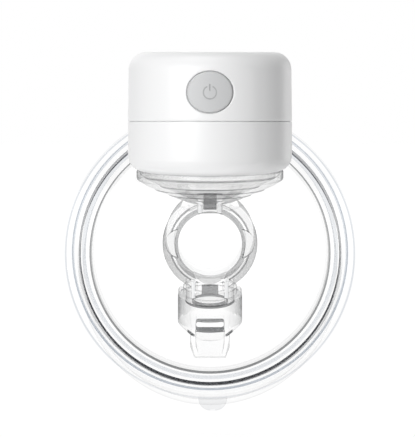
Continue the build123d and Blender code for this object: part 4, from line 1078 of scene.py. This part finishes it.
# -------------------------------------------------------------- backflow diaphragm
bd = lathe(
    "backflow_soft",
    rounded(
        [
            (0, 19.4),
            (7.8, 19.4, 1.0),
            (11.4, 21.0, 1),
            (15.8, 23.1, 1),
            (21.3, 25.9, 1.5),
            (23.3, 26.75, 0.1),
            (23.3, 27.45, 0.25),
            (21.7, 27.45, 0.3),
            (20.9, 26.7, 0.5),
            (15.4, 24.0, 1),
            (11.0, 21.9, 1),
            (7.4, 20.3, 1.0),
            (0, 20.3),
        ],
        5,
    ),
    (0, MOTOR_Y, 0),
    n=144,
)
paint(bd, M["silicone_hidden"])
tidy(bd)
co = np.array([v.co for v in bd.data.vertices]) / MM
rad = np.hypot(co[:, 0], co[:, 1] - MOTOR_Y)
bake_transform(bd)
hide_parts("backflow_diaphragm")

# ------------------------------------------------- soft pieces inside the motor unit
PX, PY = 10.4, -7.0
pr = lathe(
    "pump_rubber_soft",
    rounded(
        [
            (0, 44.22),
            (1.4, 44.22, 0.05),
            (2.8, 44.22, 0.05),
            (4.0, 44.22, 0.2),
            (4.9, 43.6, 0.35),
            (5.8, 44.22, 0.2),
            (7.4, 44.22, 0.1),
            (7.4, 45.2, 0.1),
            (5.8, 45.2, 0.2),
            (4.9, 44.6, 0.35),
            (4.0, 45.2, 0.2),
            (2.8, 45.2, 0.05),
            (1.4, 45.2, 0.05),
            (0, 45.2),
        ],
        6,
    ),
    (PX, PY, 0),
    n=96,
)
paint(pr, M["gasket_grey"])
tidy(pr)
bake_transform(pr)
# share of each vertex of the rolled ring: 1 in the middle, falling to 0 at the rim
share = np.array([math.hypot(v.co.x / MM - PX, v.co.y / MM - PY) for v in pr.data.vertices])
share = np.clip((5.8 - share) / 1.8, 0, 1)
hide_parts("pump_rubber")

SPX, SPY = -14.0, -15.0
secs = []
for i in range(193):
    a = 2 * math.pi * 4 * i / 192
    z = 45.38 + 2.64 * i / 192
    out_ = Vector((math.cos(a), math.sin(a), 0))
    along = Vector((-math.sin(a) * 2.15, math.cos(a) * 2.15, 0.66 / (2 * math.pi))).normalized()
    up = along.cross(out_).normalized()
    mid = Vector((SPX, SPY, z)) + out_ * 2.15
    secs.append([tuple(mid + out_ * (0.14 * math.cos(t)) + up * (0.14 * math.sin(t))) for t in (2 * math.pi * k / 12 for k in range(12))])
sp_ = loft("solenoid_spring_coil", secs)
place(sp_, "motor_unit", "steel", M["steel"], "solenoid_spring")
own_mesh(sp_)

# ----------------------------------------------------------------- floor and light
floor_z = (RIM_Z - SHIELD_R - 5.2) * MM - 0.0004
me = bpy.data.meshes.new("floor")
me.from_pydata([(-3, -3, floor_z), (3, -3, floor_z), (3, 3, floor_z), (-3, 3, floor_z)], [], [(0, 1, 2, 3)])
floor = bpy.data.objects.new("floor", me)
scene.collection.objects.link(floor)
fm, nt, out = new_mat("floor_white")
d = node(nt, "ShaderNodeBsdfDiffuse")
d.inputs["Color"].default_value = (0.10, 0.10, 0.10, 1)
em = node(nt, "ShaderNodeEmission")
em.inputs["Color"].default_value = (1, 1, 1, 1)
tc = node(nt, "ShaderNodeTexCoord")
ln = node(nt, "ShaderNodeVectorMath", operation="LENGTH")
nt.links.new(tc.outputs["Object"], ln.inputs[0])
# painted shade: the floor's glow is dimmer near the object (0.93) and brighter further out (0.985)
gl = node(nt, "ShaderNodeMapRange")
gl.inputs["From Min"].default_value = 0.10
gl.inputs["From Max"].default_value = 0.45
gl.inputs["To Min"].default_value = 0.93
gl.inputs["To Max"].default_value = 0.985
nt.links.new(ln.outputs["Value"], gl.inputs["Value"])
lp = node(nt, "ShaderNodeLightPath")
dm = node(nt, "ShaderNodeMapRange")
dm.inputs["To Min"].default_value = 1.0
dm.inputs["To Max"].default_value = 0.25
nt.links.new(lp.outputs["Is Diffuse Ray"], dm.inputs["Value"])
st = node(nt, "ShaderNodeMath", operation="MULTIPLY")
nt.links.new(gl.outputs["Result"], st.inputs[0])
nt.links.new(dm.outputs["Result"], st.inputs[1])
nt.links.new(st.outputs["Value"], em.inputs["Strength"])
ad = node(nt, "ShaderNodeAddShader")
nt.links.new(d.outputs["BSDF"], ad.inputs[0])
nt.links.new(em.outputs["Emission"], ad.inputs[1])
nt.links.new(ad.outputs["Shader"], out.inputs["Surface"])
floor.data.materials.append(fm)
floor.visible_shadow = False

w = bpy.data.worlds.new("studio")
scene.world = w
w.use_nodes = True
nt = w.node_tree
nt.nodes.clear()
out = nt.nodes.new("ShaderNodeOutputWorld")
bg = node(nt, "ShaderNodeBackground")
tc = node(nt, "ShaderNodeTexCoord")
sep = node(nt, "ShaderNodeSeparateXYZ")
nrm = node(nt, "ShaderNodeVectorMath", operation="NORMALIZE")
nt.links.new(tc.outputs["Camera"], nrm.inputs[0])
nt.links.new(nrm.outputs["Vector"], sep.inputs["Vector"])
# brightness against the cosine to the view direction
cr = node(nt, "ShaderNodeValToRGB")
cr.color_ramp.interpolation = "EASE"
els = cr.color_ramp.elements
els[0].position, els[0].color = 0.0, (0.36, 0.36, 0.36, 1)
els[1].position, els[1].color = 1.0, (1.0, 1.0, 1.0, 1)
for pos, v in ((0.30, 0.28), (0.50, 0.20), (0.66, 0.2), (0.80, 0.45), (0.90, 0.97)):
    el = els.new(pos)
    el.color = (v, v, v, 1)
mr = node(nt, "ShaderNodeMapRange")
mr.inputs["From Min"].default_value = -1
mr.inputs["From Max"].default_value = 1
nt.links.new(sep.outputs["Z"], mr.inputs["Value"])
nt.links.new(mr.outputs["Result"], cr.inputs["Fac"])
lp = node(nt, "ShaderNodeLightPath")
mix = node(nt, "ShaderNodeMix", data_type="RGBA")
mix.inputs[7].default_value = (1, 1, 1, 1)
nt.links.new(lp.outputs["Is Camera Ray"], mix.inputs["Factor"])
nt.links.new(cr.outputs["Color"], mix.inputs[6])
nt.links.new(mix.outputs[2], bg.inputs["Color"])
nt.links.new(bg.outputs["Background"], out.inputs["Surface"])


def area(name, loc, target, sx, sy, power, color=(1, 1, 1), glossy=True):
    l = bpy.data.lights.new(name, "AREA")
    l.shape = "RECTANGLE"
    l.size, l.size_y = sx, sy
    l.energy = power
    l.color = color
    o = bpy.data.objects.new(name, l)
    o.location = loc
    o.rotation_euler = (Vector(target) - Vector(loc)).to_track_quat("-Z", "Y").to_euler()
    o.visible_camera = False
    o.visible_glossy = glossy
    scene.collection.objects.link(o)
    return o


area("key", (-0.40, -0.69, 0.20), (0, 0, 0.03), 0.45, 0.45, 4.4)
area("top", (-0.1, -0.2, 0.8), (0, 0, 0.0), 0.5, 0.5, 1.6)
area("side", (0.40, 0.30, 0.08), (0, -0.015, 0.05), 0.2, 0.35, 0.45)
area("back", (-0.20, 0.80, 0.40), (0, 0, 0.04), 0.6, 0.5, 4.5, glossy=False)
area("under", (-0.04, -0.15, -0.34), (0, -0.02, 0.03), 0.3, 0.2, 0.7, glossy=False)

# -------------------------------------------------------------------------- camera
cam = bpy.data.cameras.new("cam")
cam.sensor_width = 36
cam.lens = 600.0 / 437.0 * 36.0
cam.clip_start, cam.clip_end = 0.01, 20
co_ = bpy.data.objects.new("cam", cam)
CAM = (0.0, -0.234, 0.0461)
co_.location = CAM
co_.rotation_euler = (math.radians(90), 0, 0)
scene.collection.objects.link(co_)
scene.camera = co_
# the picture is shifted only where this camera stands, not in views from elsewhere
for attr, val in (("shift_y", -(218.5 - 121.5) / 437.0), ("shift_x", -2.5 / 437.0)):
    dr = cam.driver_add(attr).driver
    dr.type = "SCRIPTED"
    v = dr.variables.new()
    v.name = "y"
    v.type = "TRANSFORMS"
    v.targets[0].id = co_
    v.targets[0].transform_type = "LOC_Y"
    v.targets[0].transform_space = "WORLD_SPACE"
    dr.expression = f"{val:.6f} if abs(y + 0.234) < 0.0005 else 0.0"

scene.view_settings.view_transform = "Standard"
scene.view_settings.look = "None"
scene.cycles.max_bounces = 24
scene.cycles.transmission_bounces = 20
scene.cycles.transparent_max_bounces = 32
scene.cycles.glossy_bounces = 8
scene.cycles.caustics_reflective = True
scene.cycles.caustics_refractive = True
